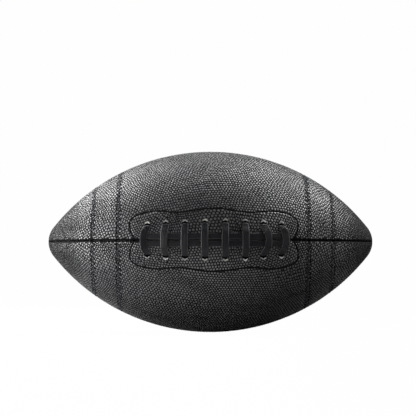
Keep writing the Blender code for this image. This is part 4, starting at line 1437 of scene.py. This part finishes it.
def add_stage():
    """A floor that sweeps up behind the ball, white to the camera, with painted light and shade for the other
    rays.
    """
    bpy.ops.object.select_all(action="DESELECT")
    bpy.ops.mesh.primitive_plane_add(size=STAGE_SIZE, location=(0.0, 0.0, -DIAMETER / 2 - 0.0003))
    floor = bpy.context.object
    floor.name = "floor"
    bpy.ops.object.mode_set(mode="EDIT")
    bpy.ops.mesh.select_all(action="DESELECT")
    bpy.ops.object.mode_set(mode="OBJECT")
    for edge in floor.data.edges:
        edge.select = all(floor.data.vertices[i].co.y > 0.49 * STAGE_SIZE for i in edge.vertices)
    bpy.ops.object.mode_set(mode="EDIT")
    bpy.ops.mesh.select_mode(type="EDGE")
    bpy.ops.mesh.extrude_region_move(TRANSFORM_OT_translate={"value": (0.0, 0.0, STAGE_HEIGHT)})
    bpy.ops.object.mode_set(mode="OBJECT")
    bpy.ops.object.transform_apply(location=True, rotation=True, scale=True)
    bevelled(floor, STAGE_SWEEP, 24)
    floor.data.shade_smooth()
    look = Look("stage_white")
    camera, through, gloss = [look.node("LightPath", output=f"Is {ray} Ray")
                              for ray in ("Camera", "Transmission", "Glossy")]
    # Painted light and shade on the floor: its colour is pale on the left and dark on the right, and only its
    # front left glows in reflections
    lit = look.axis(0).span(*STAGE_LIT_ACROSS, 1.0, 0.0)
    near = lit * look.axis(1).span(*STAGE_LIT_ALONG, 1.0, 0.0)
    seen = camera + through + gloss * (near * (1 - STAGE_IN_GLOSS) + STAGE_IN_GLOSS)
    color = look.mix(lit, (0.10, 0.10, 0.10), (0.45, 0.45, 0.45))
    look.skin(Base_Color=color, Roughness=0.9, Specular_IOR_Level=0.0)
    glow = look.node("Emission", {"Color": (1.0, 1.0, 1.0), "Strength": 1.0})
    floor.data.materials.append(look.blend(seen * (1 - STAGE_SHADOW), look.shader(), glow))


def outward(bearing, rise):
    """The way out from the ball's middle, in degrees round it from the front and in degrees up."""
    bearing, rise = math.radians(bearing), math.radians(rise)
    return Vector((math.sin(bearing) * math.cos(rise), -math.cos(bearing) * math.cos(rise), math.sin(rise)))


def add_light():
    """Soft square lamps round the ball, and a weak room light that the camera sees as white."""
    for name, bearing, rise, power in LAMPS:
        lamp = bpy.data.lights.new(name, "AREA")
        lamp.shape = "SQUARE"
        lamp.size = LAMP_SIZE
        lamp.energy = power
        holder = linked(name, lamp)
        way = outward(bearing, rise)
        holder.location = LAMP_DISTANCE * way
        holder.rotation_euler = way.to_track_quat("Z", "Y").to_euler()
    room = Nodes(bpy.data.worlds.new("room"))
    strength = room.node("LightPath", output="Is Camera Ray") * (1 - WORLD_STRENGTH) + WORLD_STRENGTH
    bpy.context.scene.world = room.wear("Background", Color=(1.0, 1.0, 1.0), Strength=strength)
    bpy.context.scene.view_settings.view_transform = "Standard"


def add_camera():
    """The photograph's view: almost square to the lacing, from a little below the middle."""
    camera = bpy.data.cameras.new("camera")
    camera.sensor_width = 36.0
    camera.lens = CAMERA_LENS
    camera.clip_start = 0.05
    holder = linked("camera", camera)
    place = CAMERA_DISTANCE * outward(*CAMERA_PLACE)
    holder.location = place
    holder.rotation_euler = (Vector(CAMERA_AIM) - place).to_track_quat("-Z", "Y").to_euler()
    bpy.context.scene.camera = holder


add_camera()
add_leather()
add_lace()
add_stitching()
add_valve()
dress_nodes()
add_stage()
add_light()
